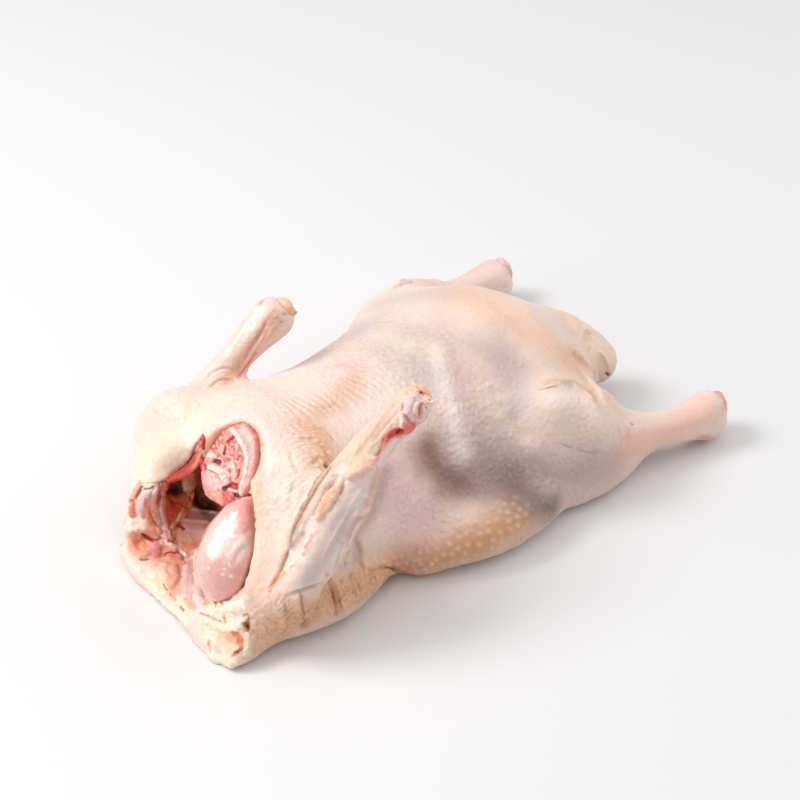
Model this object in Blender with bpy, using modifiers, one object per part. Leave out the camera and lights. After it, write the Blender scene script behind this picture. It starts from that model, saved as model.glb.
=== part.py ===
"""Whole raw duck, plucked and dressed, lying on its breast with its back up.

The carcass is one hollow solid of skin and flesh: a lofted trunk, with rounded forms for the
shoulders, flanks, thighs, legs, wing stumps and tail, fused into one surface.  The neck end is
cut open on a slant.  The cut neck, the breast muscle that shows in the opening, the wing bones
and the hock joints are pieces of their own, each seated in a socket in the carcass.

Metres, +Z up, +Y towards the tail, +X to the duck's left.  The table is the plane z = 0.
"""

import math

import bmesh
import bpy
from mathutils import Euler, Matrix, Vector

# ---- Driving dimensions, in metres ----
SEAT_GAP = 0.0004           # between a seated piece and its socket
VOXEL = 0.0026              # of the surface that fuses the forms
FACES_KEPT = 0.112          # share of the fused faces the carcass keeps
RING_SIDES = 28             # points round a section of the trunk
BACK_ROUNDNESS = 2.1        # superellipse power of a section's upper half
BREAST_ROUNDNESS = 4.2      # and of its lower half, which the table flattens

# Sections of the trunk from neck to tail: place along Y at the height of the table, slant (how
# far back the section leans for each metre of height), half width, height of the back, height
# where the section is widest, lean to the duck's left, and height of the breast, which is below
# the table where the soft breast is pressed flat.
TRUNK_SECTIONS = (
    (-0.1660, 0.69, 0.051, 0.090, 0.040, 0.013, 0.008),
    (-0.1620, 0.69, 0.057, 0.096, 0.038, 0.011, 0.002),
    (-0.1530, 0.68, 0.065, 0.100, 0.036, 0.009, -0.006),
    (-0.1400, 0.62, 0.072, 0.101, 0.038, 0.005, -0.010),
    (-0.1180, 0.50, 0.074, 0.100, 0.038, 0.003, -0.010),
    (-0.0900, 0.32, 0.073, 0.097, 0.038, 0.003, -0.010),
    (-0.0550, 0.14, 0.071, 0.093, 0.037, 0.003, -0.010),
    (-0.0150, 0.00, 0.070, 0.090, 0.036, 0.004, -0.010),
    (0.0200, 0.00, 0.073, 0.092, 0.036, 0.003, -0.010),
    (0.0550, 0.00, 0.079, 0.095, 0.038, 0.000, -0.010),
    (0.0850, 0.00, 0.079, 0.096, 0.038, 0.000, -0.010),
    (0.1100, 0.00, 0.068, 0.089, 0.038, 0.000, -0.007),
    (0.1300, 0.00, 0.054, 0.075, 0.036, 0.002, -0.002),
    (0.1440, 0.00, 0.040, 0.058, 0.033, 0.004, 0.006),
    (0.1560, 0.00, 0.025, 0.046, 0.030, 0.008, 0.014),
)

# Rounded forms on both sides of the trunk: centre, radii, and turn in degrees.
SIDE_FORMS = (
    ((0.052, -0.096, 0.055), (0.031, 0.034, 0.033), (20, 0, 0)),    # shoulder
    ((0.060, 0.028, 0.015), (0.046, 0.076, 0.024), (0, 0, -2)),     # flank, spread on the table
    ((0.066, -0.018, 0.010), (0.024, 0.026, 0.017), (0, 0, 0)),     # its front corner
    ((0.056, 0.078, 0.040), (0.036, 0.044, 0.039), (-6, 10, -4)),   # thigh
    ((0.071, 0.101, 0.039), (0.026, 0.029, 0.026), (0, 20, -8)),    # drumstick at the bent knee
    ((0.044, 0.100, 0.036), (0.040, 0.034, 0.032), (-8, 0, 0)),     # flank behind the thigh
    ((0.082, 0.100, 0.014), (0.022, 0.052, 0.018), (0, 0, 0)),      # underside of the drumstick
)
HOCK_FORM = ((0.0970, 0.1890, 0.0170), (0.0150, 0.0165, 0.0178), (0, 0, 0))

# The breast, spread on the table to the left and to the right, and the loose skin in front:
# what lies on the table under the opening, and the fold of the opening's right rim.
FRONT_FORMS = (
    ((0.046, -0.092, 0.014), (0.040, 0.062, 0.023), (0, 0, -4)),
    ((-0.042, -0.080, 0.014), (0.038, 0.056, 0.023), (0, 0, 4)),
    ((0.050, -0.150, 0.009), (0.027, 0.028, 0.014), (0, 0, 0)),
    ((-0.042, -0.130, 0.044), (0.019, 0.018, 0.018), (20, 0, 0)),
)

# Rounded forms on the middle of the back: the rump, which falls away to the tail.
RUMP_FORM = ((0.002, 0.100, 0.054), (0.046, 0.042, 0.036), (-20, 0, 0))

# Limbs: the middle of the limb from its root to its end, and its radius at each point.
LEFT_WING = (
    ((0.066, -0.122, 0.036), 0.0200),
    ((0.073, -0.109, 0.057), 0.0190),
    ((0.074, -0.088, 0.080), 0.0175),
    ((0.070, -0.066, 0.098), 0.0125),
    ((0.065, -0.043, 0.105), 0.0105),
    ((0.0615, -0.022, 0.109), 0.0122),
)
RIGHT_WING = (
    ((-0.064, -0.095, 0.050), 0.0180),
    ((-0.068, -0.073, 0.064), 0.0135),
    ((-0.068, -0.056, 0.077), 0.0112),
    ((-0.064, -0.042, 0.091), 0.0112),
    ((-0.060, -0.024, 0.105), 0.0140),
)
LEFT_LEG = (
    ((0.074, 0.098, 0.037), 0.0265),
    ((0.084, 0.121, 0.028), 0.0185),
    ((0.091, 0.147, 0.022), 0.0122),
    ((0.095, 0.168, 0.019), 0.0120),
    ((0.097, 0.186, 0.017), 0.0140),
)
RIGHT_LEG = (
    ((-0.074, 0.100, 0.040), 0.0270),
    ((-0.084, 0.122, 0.036), 0.0180),
    ((-0.091, 0.146, 0.028), 0.0105),
    ((-0.095, 0.168, 0.024), 0.0110),
    ((-0.097, 0.186, 0.020), 0.0132),
)
TAIL = (
    ((0.003, 0.126, 0.052), 0.0240),
    ((0.008, 0.146, 0.045), 0.0200),
    ((0.013, 0.160, 0.036), 0.0172),
    ((0.018, 0.170, 0.024), 0.0160),
)

# The hollow of the body: the main hollow, its wide mouth, the recess round the cut neck, and
# the mouth's right upper corner.
HOLLOW_FORMS = (
    ((0.003, -0.100, 0.038), (0.046, 0.078, 0.029), (10, 0, 0)),
    ((-0.002, -0.156, 0.036), (0.049, 0.034, 0.030), (35, 0, 3)),
    ((0.006, -0.110, 0.0795), (0.0215, 0.0125, 0.0262), (-35, 0, 0)),
    ((-0.023, -0.130, 0.062), (0.026, 0.022, 0.021), (35, 24, 0)),
)

# Flat cuts: a point on the plane of the cut, and the direction that is cut away.
NECK_CUT = ((0.0, -0.099, 0.095), (0.0, -0.82, 0.57))
TABLE_CUT = ((0.0, 0.0, 0.0), (0.0, 0.0, -1.0))
JOINT_CUTS = (
    ((0.0620, -0.0150, 0.1110), (0.35, 0.90, 0.25)),
    ((-0.0580, -0.0150, 0.1110), (0.30, 0.70, 0.65)),
    ((0.0985, 0.2005, 0.0200), (0.30, 0.93, 0.20)),
    ((-0.0985, 0.2000, 0.0220), (-0.10, 0.98, 0.15)),
)
JOINT_CUT_SIZE = 0.034

# The cut neck: a bone column whose end lies along the slant of the neck cut.
NECK_STATIONS = (
    ((0.001, -0.066, 0.060), 0.0155),
    ((0.001, -0.074, 0.063), 0.0172),
    ((0.002, -0.091, 0.069), 0.0182),
    ((0.0040, -0.1030, 0.0740), 0.0190),
    ((0.0045, -0.1075, 0.0765), 0.0186),
)
NECK_OVAL = 1.22            # how much taller than wide the neck is
NECK_SIDES = 26
NECK_WAVE = 0.05            # how uneven its outline is

BREAST_MUSCLE = ((0.0340, -0.1275, 0.0466), (0.0200, 0.0180, 0.0316), (-38, 0, 0))
LEFT_WING_BONE = ((0.0635, -0.0165, 0.1100), (0.0062, 0.0058, 0.0066), (0, 0, -20))
RIGHT_WING_BONE = ((-0.0590, -0.0180, 0.1095), (0.0068, 0.0062, 0.0060), (0, 0, 20))
LEFT_HOCK_JOINT = ((0.0975, 0.1992, 0.0190), (0.0085, 0.0040, 0.0100), (0, 0, -18))
RIGHT_HOCK_JOINT = ((-0.0980, 0.1987, 0.0205), (0.0085, 0.0040, 0.0105), (0, 0, 6))


def remove_everything():
    """Empties the file of objects."""
    for obj in list(bpy.data.objects):
        bpy.data.objects.remove(obj)


def collection_named(name):
    """A new collection under the scene."""
    made = bpy.data.collections.new(name)
    bpy.context.scene.collection.children.link(made)
    return made


def material_named(name, colour, roughness):
    """A Principled material."""
    made = bpy.data.materials.new(name)
    made.use_nodes = True
    shader = made.node_tree.nodes["Principled BSDF"]
    shader.inputs["Base Color"].default_value = (*colour, 1.0)
    shader.inputs["Roughness"].default_value = roughness
    shader.inputs["Metallic"].default_value = 0.0
    return made


def mesh_of(name, build):
    """A mesh with outward faces, from a function that fills a bmesh."""
    forms = bmesh.new()
    build(forms)
    bmesh.ops.recalc_face_normals(forms, faces=forms.faces[:])
    mesh = bpy.data.meshes.new(name)
    forms.to_mesh(mesh)
    forms.free()
    return mesh


def new_object(name, mesh, collection):
    """An object of a mesh, linked to a collection."""
    obj = bpy.data.objects.new(name, mesh)
    collection.objects.link(obj)
    return obj


def new_cutter(name, mesh, collection):
    """A helper that cuts another object: drawn as a wire and left out of a render."""
    obj = new_object(name, mesh, collection)
    obj.hide_render = True
    obj.display_type = "WIRE"
    return obj


def new_piece(name, mesh, collection, material):
    """A finished piece with its material."""
    obj = new_object(name, mesh, collection)
    obj.data.materials.append(material)
    return obj


def modifier(obj, kind, name, **settings):
    """Adds a modifier and sets it."""
    made = obj.modifiers.new(name, kind)
    for key, value in settings.items():
        setattr(made, key, value)
    return made


def cut(obj, cutter):
    """Cuts a cutter out of an object."""
    modifier(obj, "BOOLEAN", "cut " + cutter.name, operation="DIFFERENCE", solver="EXACT", object=cutter)


def add_ellipsoid(forms, form, sides=20, grow=0.0):
    """Adds a rounded form, a little larger all round if it grows."""
    centre, radii, turn_deg = form
    turn = Euler([math.radians(angle) for angle in turn_deg]).to_matrix().to_4x4()
    size = Matrix.Diagonal((*(radius + grow for radius in radii), 1.0))
    place = Matrix.Translation(centre) @ turn @ size
    bmesh.ops.create_uvsphere(forms, u_segments=sides, v_segments=sides // 2 + 2, radius=1.0, matrix=place)


def mirrored(form):
    """The same rounded form on the duck's right side."""
    (x, y, z), radii, (pitch, roll, yaw) = form
    return (-x, y, z), radii, (pitch, -roll, -yaw)


def add_limb(forms, route):
    """Adds a tapered round limb along a curve, closed by a ball at each end."""
    curve = bpy.data.curves.new("limb", "CURVE")
    curve.dimensions = "3D"
    curve.bevel_depth = 1.0
    curve.bevel_resolution = 4
    curve.resolution_u = 6
    curve.use_fill_caps = True
    spline = curve.splines.new("BEZIER")
    spline.bezier_points.add(len(route) - 1)
    for point, (place, radius) in zip(spline.bezier_points, route):
        point.co = place
        point.radius = radius
        point.handle_left_type = "AUTO"
        point.handle_right_type = "AUTO"
    guide = bpy.data.objects.new("limb", curve)
    bpy.context.scene.collection.objects.link(guide)
    bpy.context.view_layer.update()
    solid = bpy.data.meshes.new_from_object(guide.evaluated_get(bpy.context.evaluated_depsgraph_get()))
    forms.from_mesh(solid)
    bmesh.ops.remove_doubles(forms, verts=forms.verts[:], dist=0.00001)
    bpy.data.objects.remove(guide)
    for place, radius in (route[0], route[-1]):
        add_ellipsoid(forms, (place, (radius, radius, radius), (0, 0, 0)))


def close_rings(forms, rings):
    """Skins a row of rings and closes both ends."""
    sides = len(rings[0])
    for near, far in zip(rings, rings[1:]):
        for i in range(sides):
            j = (i + 1) % sides
            forms.faces.new((near[i], near[j], far[j], far[i]))
    forms.faces.new(rings[0][::-1])
    forms.faces.new(rings[-1])


def add_trunk(forms):
    """Adds the trunk: a loft through its sections."""
    rings = []
    for along, slant, half_width, back, widest, lean, breast in TRUNK_SECTIONS:
        ring = []
        for step in range(RING_SIDES):
            angle = 2 * math.pi * step / RING_SIDES
            across, up = math.cos(angle), math.sin(angle)
            power = 2 / (BACK_ROUNDNESS if up >= 0 else BREAST_ROUNDNESS)
            rise = back - widest if up >= 0 else widest - breast
            x = lean + half_width * math.copysign(abs(across) ** power, across)
            z = widest + rise * math.copysign(abs(up) ** power, up)
            ring.append(forms.verts.new((x, along + slant * z, z)))
        rings.append(ring)
    close_rings(forms, rings)


def add_neck(forms, grow=0.0):
    """Adds the cut neck: rings that lie along the slant of the neck cut."""
    slant = Vector(NECK_CUT[1]).normalized()
    across = Vector((1.0, 0.0, 0.0))
    up = across.cross(slant)
    rings = []
    for number, (centre, radius) in enumerate(NECK_STATIONS):
        end_shift = {0: -grow, len(NECK_STATIONS) - 1: grow}.get(number, 0.0)
        ring = []
        for step in range(NECK_SIDES):
            angle = 2 * math.pi * step / NECK_SIDES
            reach = radius * (1 + NECK_WAVE * math.sin(3 * angle + 0.6)) + grow
            offset = across * math.cos(angle) * reach + up * math.sin(angle) * reach * NECK_OVAL
            ring.append(forms.verts.new(Vector(centre) + offset + slant * end_shift))
        rings.append(ring)
    close_rings(forms, rings)


def add_slab(forms, flat_cut, size):
    """Adds a block whose one face lies on a flat cut, on the side that is cut away."""
    point, direction = flat_cut
    outward = Vector(direction).normalized()
    turn = outward.to_track_quat("Z", "Y").to_matrix().to_4x4()
    place = Matrix.Translation(Vector(point) + outward * size / 2) @ turn
    bmesh.ops.create_cube(forms, size=size, matrix=place)


def add_carcass_forms(forms):
    """Adds all the forms of the carcass, overlapping."""
    add_trunk(forms)
    for form in SIDE_FORMS + (HOCK_FORM,):
        add_ellipsoid(forms, form)
        add_ellipsoid(forms, mirrored(form))
    for form in FRONT_FORMS + (RUMP_FORM,):
        add_ellipsoid(forms, form)
    for route in (TAIL, LEFT_WING, RIGHT_WING, LEFT_LEG, RIGHT_LEG):
        add_limb(forms, route)


def add_hollow_forms(forms):
    """Adds the overlapping forms of the hollow."""
    for form in HOLLOW_FORMS:
        add_ellipsoid(forms, form, sides=28)


def add_joint_slabs(forms):
    """Adds the blocks that cut the wings at the elbow and the legs at the hock."""
    for flat_cut in JOINT_CUTS:
        add_slab(forms, flat_cut, JOINT_CUT_SIZE)


def build_carcass(duck, cutters):
    """The carcass, before the sockets of the seated pieces."""
    skin = material_named("skin", (0.86, 0.70, 0.60), 0.45)
    carcass = new_piece("carcass", mesh_of("carcass", add_carcass_forms), duck, skin)
    neck_slab = new_cutter("neck_slab", mesh_of("neck_slab", lambda f: add_slab(f, NECK_CUT, 0.4)), cutters)
    table = new_cutter("table", mesh_of("table", lambda f: add_slab(f, TABLE_CUT, 0.6)), cutters)
    joints = new_cutter("joint_slabs", mesh_of("joint_slabs", add_joint_slabs), cutters)
    hollow = new_cutter("hollow", mesh_of("hollow", add_hollow_forms), cutters)
    modifier(hollow, "REMESH", "fuse hollow", mode="VOXEL", voxel_size=VOXEL)
    modifier(hollow, "SMOOTH", "soften hollow", factor=0.5, iterations=4)
    modifier(carcass, "REMESH", "fuse forms", mode="VOXEL", voxel_size=VOXEL)
    modifier(carcass, "SMOOTH", "soften forms", factor=0.5, iterations=10)
    cut(carcass, neck_slab)
    cut(carcass, hollow)
    modifier(carcass, "REMESH", "fuse rim", mode="VOXEL", voxel_size=VOXEL)
    modifier(carcass, "SMOOTH", "soften rim", factor=0.5, iterations=3)
    modifier(carcass, "DECIMATE", "fewer faces", ratio=FACES_KEPT)
    cut(carcass, table)
    cut(carcass, joints)
    return carcass


def seat(carcass, name, build, duck, cutters, material):
    """A piece of its own, and its socket in the carcass.  build(forms, grow) adds the piece."""
    piece = new_piece(name, mesh_of(name, lambda forms: build(forms, 0.0)), duck, material)
    socket_mesh = mesh_of(name + "_socket", lambda forms: build(forms, SEAT_GAP))
    cut(carcass, new_cutter(name + "_socket", socket_mesh, cutters))
    return piece


def rounded(form, sides):
    """A builder of one rounded form, for seat()."""
    return lambda forms, grow: add_ellipsoid(forms, form, sides, grow)


def stand_at_origin(pieces, helpers):
    """Moves everything so that the middle of the duck's outline on the table is the origin."""
    bpy.context.view_layer.update()
    depsgraph = bpy.context.evaluated_depsgraph_get()
    places = []
    for piece in pieces:
        shaped = piece.evaluated_get(depsgraph)
        places += [vertex.co.copy() for vertex in shaped.to_mesh().vertices]
        shaped.to_mesh_clear()
    low = [min(place[axis] for place in places) for axis in range(3)]
    high = [max(place[axis] for place in places) for axis in range(3)]
    middle = Vector(((low[0] + high[0]) / 2, (low[1] + high[1]) / 2, low[2]))
    for obj in pieces + helpers:
        obj.location = -middle


def main():
    """Builds the duck."""
    remove_everything()
    duck = collection_named("raw_duck")
    cutters = collection_named("cutters")
    cutters.hide_render = True
    carcass = build_carcass(duck, cutters)
    bone = material_named("cut_bone", (0.72, 0.30, 0.28), 0.40)
    flesh = material_named("raw_flesh", (0.80, 0.38, 0.36), 0.25)
    cartilage = material_named("cartilage", (0.86, 0.66, 0.62), 0.30)
    pieces = [
        carcass,
        seat(carcass, "neck_stump", add_neck, duck, cutters, bone),
        seat(carcass, "breast_muscle", rounded(BREAST_MUSCLE, 28), duck, cutters, flesh),
        seat(carcass, "wing_bone_left", rounded(LEFT_WING_BONE, 14), duck, cutters, cartilage),
        seat(carcass, "wing_bone_right", rounded(RIGHT_WING_BONE, 14), duck, cutters, cartilage),
        seat(carcass, "hock_joint_left", rounded(LEFT_HOCK_JOINT, 14), duck, cutters, cartilage),
        seat(carcass, "hock_joint_right", rounded(RIGHT_HOCK_JOINT, 14), duck, cutters, cartilage),
    ]
    stand_at_origin(pieces, list(cutters.objects))


main()
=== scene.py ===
"""Whole raw duck, plucked and dressed, on a plain pale table: its looks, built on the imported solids.

Metres, +Z up, +Y towards the tail, +X to the duck's left.  Strokes of relief and of colour are
placed by the pixel where the eye sees them, and lie on the surface that the eye meets there.
Their widths and heights are in millimetres.
"""

import itertools
import logging
import math
from collections.abc import Callable, Iterator, Sequence
from contextlib import contextmanager
from dataclasses import dataclass
from enum import Enum

import bpy
import numpy as np
from mathutils import Matrix, Vector
from mathutils.bvhtree import BVHTree

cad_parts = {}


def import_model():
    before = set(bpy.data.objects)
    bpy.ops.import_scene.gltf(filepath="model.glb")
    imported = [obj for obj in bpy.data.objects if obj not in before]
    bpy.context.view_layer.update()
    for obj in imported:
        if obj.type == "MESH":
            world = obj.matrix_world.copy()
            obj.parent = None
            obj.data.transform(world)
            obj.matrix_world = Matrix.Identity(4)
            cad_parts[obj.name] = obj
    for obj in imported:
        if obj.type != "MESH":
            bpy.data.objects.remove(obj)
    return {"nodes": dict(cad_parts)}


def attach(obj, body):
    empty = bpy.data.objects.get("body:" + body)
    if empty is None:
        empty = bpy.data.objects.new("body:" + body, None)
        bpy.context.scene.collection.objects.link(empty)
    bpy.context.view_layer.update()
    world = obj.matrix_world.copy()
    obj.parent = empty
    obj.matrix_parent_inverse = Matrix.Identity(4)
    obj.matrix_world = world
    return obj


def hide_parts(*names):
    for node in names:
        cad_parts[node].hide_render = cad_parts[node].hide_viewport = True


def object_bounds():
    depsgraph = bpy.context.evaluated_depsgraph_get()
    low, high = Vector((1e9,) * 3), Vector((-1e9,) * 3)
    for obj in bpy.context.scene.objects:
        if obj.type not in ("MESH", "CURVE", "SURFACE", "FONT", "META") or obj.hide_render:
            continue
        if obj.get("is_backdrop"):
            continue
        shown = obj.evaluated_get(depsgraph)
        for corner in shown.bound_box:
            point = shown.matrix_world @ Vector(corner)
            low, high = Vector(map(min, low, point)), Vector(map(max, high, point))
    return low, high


MM = 0.001
PAINT = "paint"
WASH_WIDTH = 5.0            # half width from which a stroke of colour is a soft wash, in millimetres
# How far from its line a stroke works, in its half widths or reaches
RELIEF_SPREAD, COLOUR_SPREAD, PUSH_SPREAD, RIPPLE_SPREAD = 5.0, 2.2, 2.5, 2.0
PIMPLE_SPREAD, STRAND_SPREAD, SPONGE_SPREAD = 1.6, 1.8, 2.0
# Seeds of the soft patterns; most have a stroke's number added
RAGGED_SEED, BROKEN_SEED, COLOUR_SEED, RIPPLE_SEED, RIPPLE_BROKEN_SEED = 7, 8, 40, 60, 90
STRAND_SEED, HEIGHT_SEED, EDGE_SEED, PIT_SEED, PORE_SEED, FINE_PORE_SEED = 100, 200, 300, 700, 33, 34
# How far a place has to face a stroke's way, as a cosine: where it takes hold, and until full strength
FACING_FROM, FACING_SPAN = -0.35, 0.6
PAINTED_SHADE_WIDTH = 0.9            # half width of the painted shade down a groove, in half widths of the groove
RAGGED, RAGGED_SIZE = 0.22, 0.003                       # how uneven in width a stroke of relief is
STEADY, BROKEN, BROKEN_SIZE = 0.85, 0.45, 0.006         # and how uneven in height
COLOUR_RAGGED, COLOUR_RAGGED_SIZE = 0.25, 0.7           # how uneven in width a stroke of colour is
SHARP, SOFT = 4, 2          # powers with which strokes end: with an edge, or softly
RIPPLE_BEND, RIPPLE_SHADE = 0.6, 0.4                    # how crooked wrinkles are, and how much shade is painted in their valleys
RIPPLE_EVEN, RIPPLE_UNEVEN = 0.7, 0.3                   # the even and the uneven share of their height
STRAND_ROUNDNESS = 0.7      # power that rounds a strand across
TINT_END, TINT_FADE, TINT_MOST = 1.3, 0.7, 0.88         # where a strand's tint ends, in half widths
PORE_SIZE, FINE_PORE_SIZE, FINE_PORES, PORE_HEIGHT = 1.7, 0.9, 0.6, 0.55        # in millimetres
PORE_LEVEL, PORE_TINT, RIM_TINT = 0.1, 0.8, 0.7         # from where pores and rims are tinted
LONGEST_STEP = 0.014        # a route that leaps further than this, in metres, has passed a gap
FAINT = 0.15                # a feather pit fainter than this is left out
LIP_PLACE, LIP_WIDTH, LIP_HEIGHT = 2.0, 0.9, 0.35       # a crease's soft lips, in its half widths
LAP_WIDTH, LAP_EDGE, LAP_DIP = 2.4, 0.9, 0.5            # skin that laps over, in its half widths
TAPER = 0.22                # share of a line of relief over which each of its ends fades
RIPPLE_TAPER = 0.15         # the same of a field of wrinkles
LOG = logging.getLogger("duck")

Pixel = tuple[float, float]
Triple = tuple[float, float, float]


class Tint(Enum):
    """Colours of raw duck, and of the shade and light painted on it, as screen values from 0 to 255."""

    CREAM = (237, 212, 200)
    PALE = (247, 229, 220)
    BUTTER = (245, 226, 203)
    PEACH = (240, 200, 172)
    APRICOT = (232, 172, 132)
    LILAC = (198, 174, 166)
    GREY = (188, 176, 174)
    ROSE = (234, 190, 184)
    BLUSH = (224, 152, 142)
    BRUISE = (186, 150, 152)
    # FOLD is also the shade that strokes of relief paint in their grooves, creases and laps unless they
    # name another tint
    FOLD = (188, 104, 62)
    UMBER = (124, 44, 16)
    # painted shade deep in the hollow
    CAVE = (70, 14, 4)
    ORANGE = (230, 126, 84)
    CORAL = (222, 96, 80)
    RED = (190, 40, 36)
    BLOOD = (128, 16, 18)
    PINK = (226, 142, 142)
    MEAT = (216, 112, 112)
    SHELL = (240, 204, 202)
    WEB = (226, 210, 206)
    BONE = (238, 186, 178)
    WHITE = (250, 244, 242)
    SPECK = (84, 40, 18)
    # TAN is also the shade painted in the valleys of wrinkles
    TAN = (206, 152, 112)
    OCHRE = (236, 182, 140)
    BRICK = (204, 72, 52)
    AMBER = (228, 106, 56)
    SALMON = (236, 164, 138)
    EARTH = (150, 78, 26)
    MILK = (244, 221, 207)
    FLESH = (232, 138, 122)
    MAUVE = (178, 152, 148)
    SLATE = (140, 118, 108)
    DUSK = (150, 116, 106)

    def linear(self) -> np.ndarray:
        """The colour as linear light."""
        screen = np.array(self.value, float) / 255
        return np.where(screen <= 0.04045, screen / 12.92, ((screen + 0.055) / 1.055) ** 2.4)


class Profile(Enum):
    """How a stroke of relief stands across its line."""

    CREASE = "groove between two soft lips"
    GROOVE = "plain groove"
    RIDGE = "rounded ridge"
    LAP = "skin on the left of the line laps over the skin on its right"

    def height(self, x: np.ndarray, side: np.ndarray) -> np.ndarray:
        """How high the surface stands near a line of this profile.

        Args:
            x: Distances from the line, in half widths.
            side: Positive on the left of the line.

        Returns:
            Heights, as shares of the stroke's.
        """
        middle = np.exp(-(x**2))
        if self is Profile.CREASE:
            return LIP_HEIGHT * np.exp(-(((x - LIP_PLACE) / LIP_WIDTH) ** 2)) - middle
        if self is Profile.LAP:
            over, under = np.exp(-((x / LAP_WIDTH) ** 2)), np.exp(-((x / LAP_EDGE) ** 2))
            return np.where(side > 0, over, -LAP_DIP * under)
        return middle if self is Profile.RIDGE else -middle


@dataclass(frozen=True)
class Relief:
    """A stroke of relief: profile, half width, height, line in pixels, and the shade painted along it."""

    profile: Profile
    width: float
    height: float
    line: tuple[Pixel, ...]
    # how strong the shade painted along a groove, crease or lap is, and its tint
    shade: float = 0.5
    tint: Tint = Tint.FOLD
    ragged: float = 1.0

    @property
    def reach(self) -> float:
        """How far from its line it is felt, in millimetres."""
        return self.width * 3.2


@dataclass(frozen=True)
class Touch:
    """A stroke of colour: tint, strength, half width, and its line in pixels.

    A broad one is a wash and fades out softly, a narrow one has an edge.
    """

    tint: Tint
    strength: float
    width: float
    line: tuple[Pixel, ...]


@dataclass(frozen=True)
class Grain:
    """A stroke of pebbly skin: strength, half width, and its line in pixels."""

    strength: float
    width: float
    line: tuple[Pixel, ...]


@dataclass(frozen=True)
class Push:
    """A soft push with the thumb: its line in pixels, its reach, and its way, outwards if positive."""

    line: tuple[Pixel, ...]
    reach: float
    way: float


@dataclass(frozen=True)
class Drag:
    """Skin drawn along the picture: its line in pixels, its reach, and the way in pixels."""

    line: tuple[Pixel, ...]
    reach: float
    way: Pixel


@dataclass(frozen=True)
class Ripples:
    """Fine wavy wrinkles that cross the line between two pixels, or curl around its start."""

    line: tuple[Pixel, Pixel]
    reach: float
    spacing: float
    height: float
    curled: bool = False


@dataclass(frozen=True)
class Pimples:
    """Raised feather pits along a line of pixels; their crests take a tint that is partly their own pale
    colour and partly painted highlight.
    """

    reach: float
    spacing: float
    size: float
    height: float
    line: tuple[Pixel, ...]
    tint: Tint = Tint.BUTTER
    strength: float = 0.3


@dataclass(frozen=True)
class Unevenness:
    """A soft unevenness: how far apart highs and lows are, how high they are, and which pattern."""

    size: float
    height: float
    seed: int


@dataclass(frozen=True)
class Strand:
    """A soft strand or lump: tint, its line in pixels, and half widths and heights along it."""

    tint: Tint
    line: tuple[Pixel, ...]
    widths: tuple[float, ...]
    heights: tuple[float, ...] = (0.8,)

    @property
    def reach(self) -> float:
        """How far from its line it is felt, in millimetres."""
        return max(self.widths) * 1.15


Stroke = Relief | Touch | Grain | Push | Drag | Ripples | Pimples | Strand


@dataclass(frozen=True)
class Nearby:
    """A route on the surface and the vertices near it, with how each of them lies to it."""

    points: np.ndarray          # of the route
    normals: np.ndarray         # of the surface at these points
    picked: np.ndarray          # numbers of the vertices
    distance: np.ndarray        # how far they are from the route
    along: np.ndarray           # how far along it they are, from 0 to 1
    side: np.ndarray            # how far to the left of it they are
    turned: np.ndarray          # how much they face its way, from 0 to 1


def choose(*pieces: bpy.types.Object) -> None:
    """Selects these pieces alone and makes the first one active.

    Args:
        pieces: What is to be selected.
    """
    bpy.ops.object.select_all(action="DESELECT")
    for piece in pieces:
        piece.select_set(True)
    if pieces:
        bpy.context.view_layer.objects.active = pieces[0]


@contextmanager
def editing(piece: bpy.types.Object, everything: bool = False, mode: str = "VERT") -> Iterator[None]:
    """Opens a piece in edit mode, and closes it again.

    Args:
        piece: The piece to work on.
        everything: Whether all of it is selected.
        mode: What is picked: VERT, EDGE or FACE.

    Yields:
        Nothing.
    """
    choose(piece)
    bpy.ops.object.mode_set(mode="EDIT")
    bpy.ops.mesh.select_mode(type=mode)
    if everything:
        bpy.ops.mesh.select_all(action="SELECT")
    yield
    bpy.ops.object.mode_set(mode="OBJECT")


def pick(piece: bpy.types.Object, picked: Sequence[bool]) -> None:
    """Selects vertices of a piece and nothing else of it.

    Args:
        piece: The piece.
        picked: True or False for each vertex.
    """
    with editing(piece):
        bpy.ops.mesh.select_all(action="DESELECT")
    piece.data.vertices.foreach_set("select", picked)


def finish_with(piece: bpy.types.Object, kind: str, **settings: object) -> None:
    """Adds a modifier to a piece and applies it.

    Args:
        piece: The piece.
        kind: The modifier's type.
        settings: The modifier's values.
    """
    choose(piece)
    made = piece.modifiers.new(kind.lower(), kind)
    for name, value in settings.items():
        setattr(made, name, value)
    bpy.ops.object.modifier_apply(modifier=made.name)


def soft_noise(places: np.ndarray, size: float, seed: int) -> np.ndarray:
    """Values from -1 to 1 that change smoothly from place to place.

    Args:
        places: Points, one a row.
        size: How far apart unlike values are, in metres.
        seed: Which pattern.

    Returns:
        A value for each point.
    """
    period = 32
    table = np.random.default_rng(seed).uniform(-1, 1, (period,) * 3)
    grid = places / size
    cell = np.floor(grid).astype(int)
    part = grid - cell
    part = part * part * (3 - 2 * part)
    total = np.zeros(len(places))
    for corner in itertools.product((0, 1), repeat=3):
        weight = np.prod(np.where(corner, part, 1 - part), axis=1)
        i, j, k = ((cell + corner) % period).T
        total += weight * table[i, j, k]
    return total


def along_line(steps: np.ndarray, values: Sequence[float]) -> np.ndarray:
    """Values spread evenly along a line, with even passages between them.

    Args:
        steps: How far along the line they are asked for, from 0 to 1.
        values: The values.

    Returns:
        The value at each step.
    """
    return np.interp(steps, np.linspace(0, 1, len(values)), values)


def near_end(along: np.ndarray, taper: float) -> np.ndarray:
    """How much a line fades towards its ends.

    Args:
        along: How far along the line, from 0 to 1.
        taper: Share of the line over which each end fades.

    Returns:
        From 0 at the ends to 1 in the middle.
    """
    return np.clip(np.minimum(along, 1 - along) / taper, 0, 1)


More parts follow.
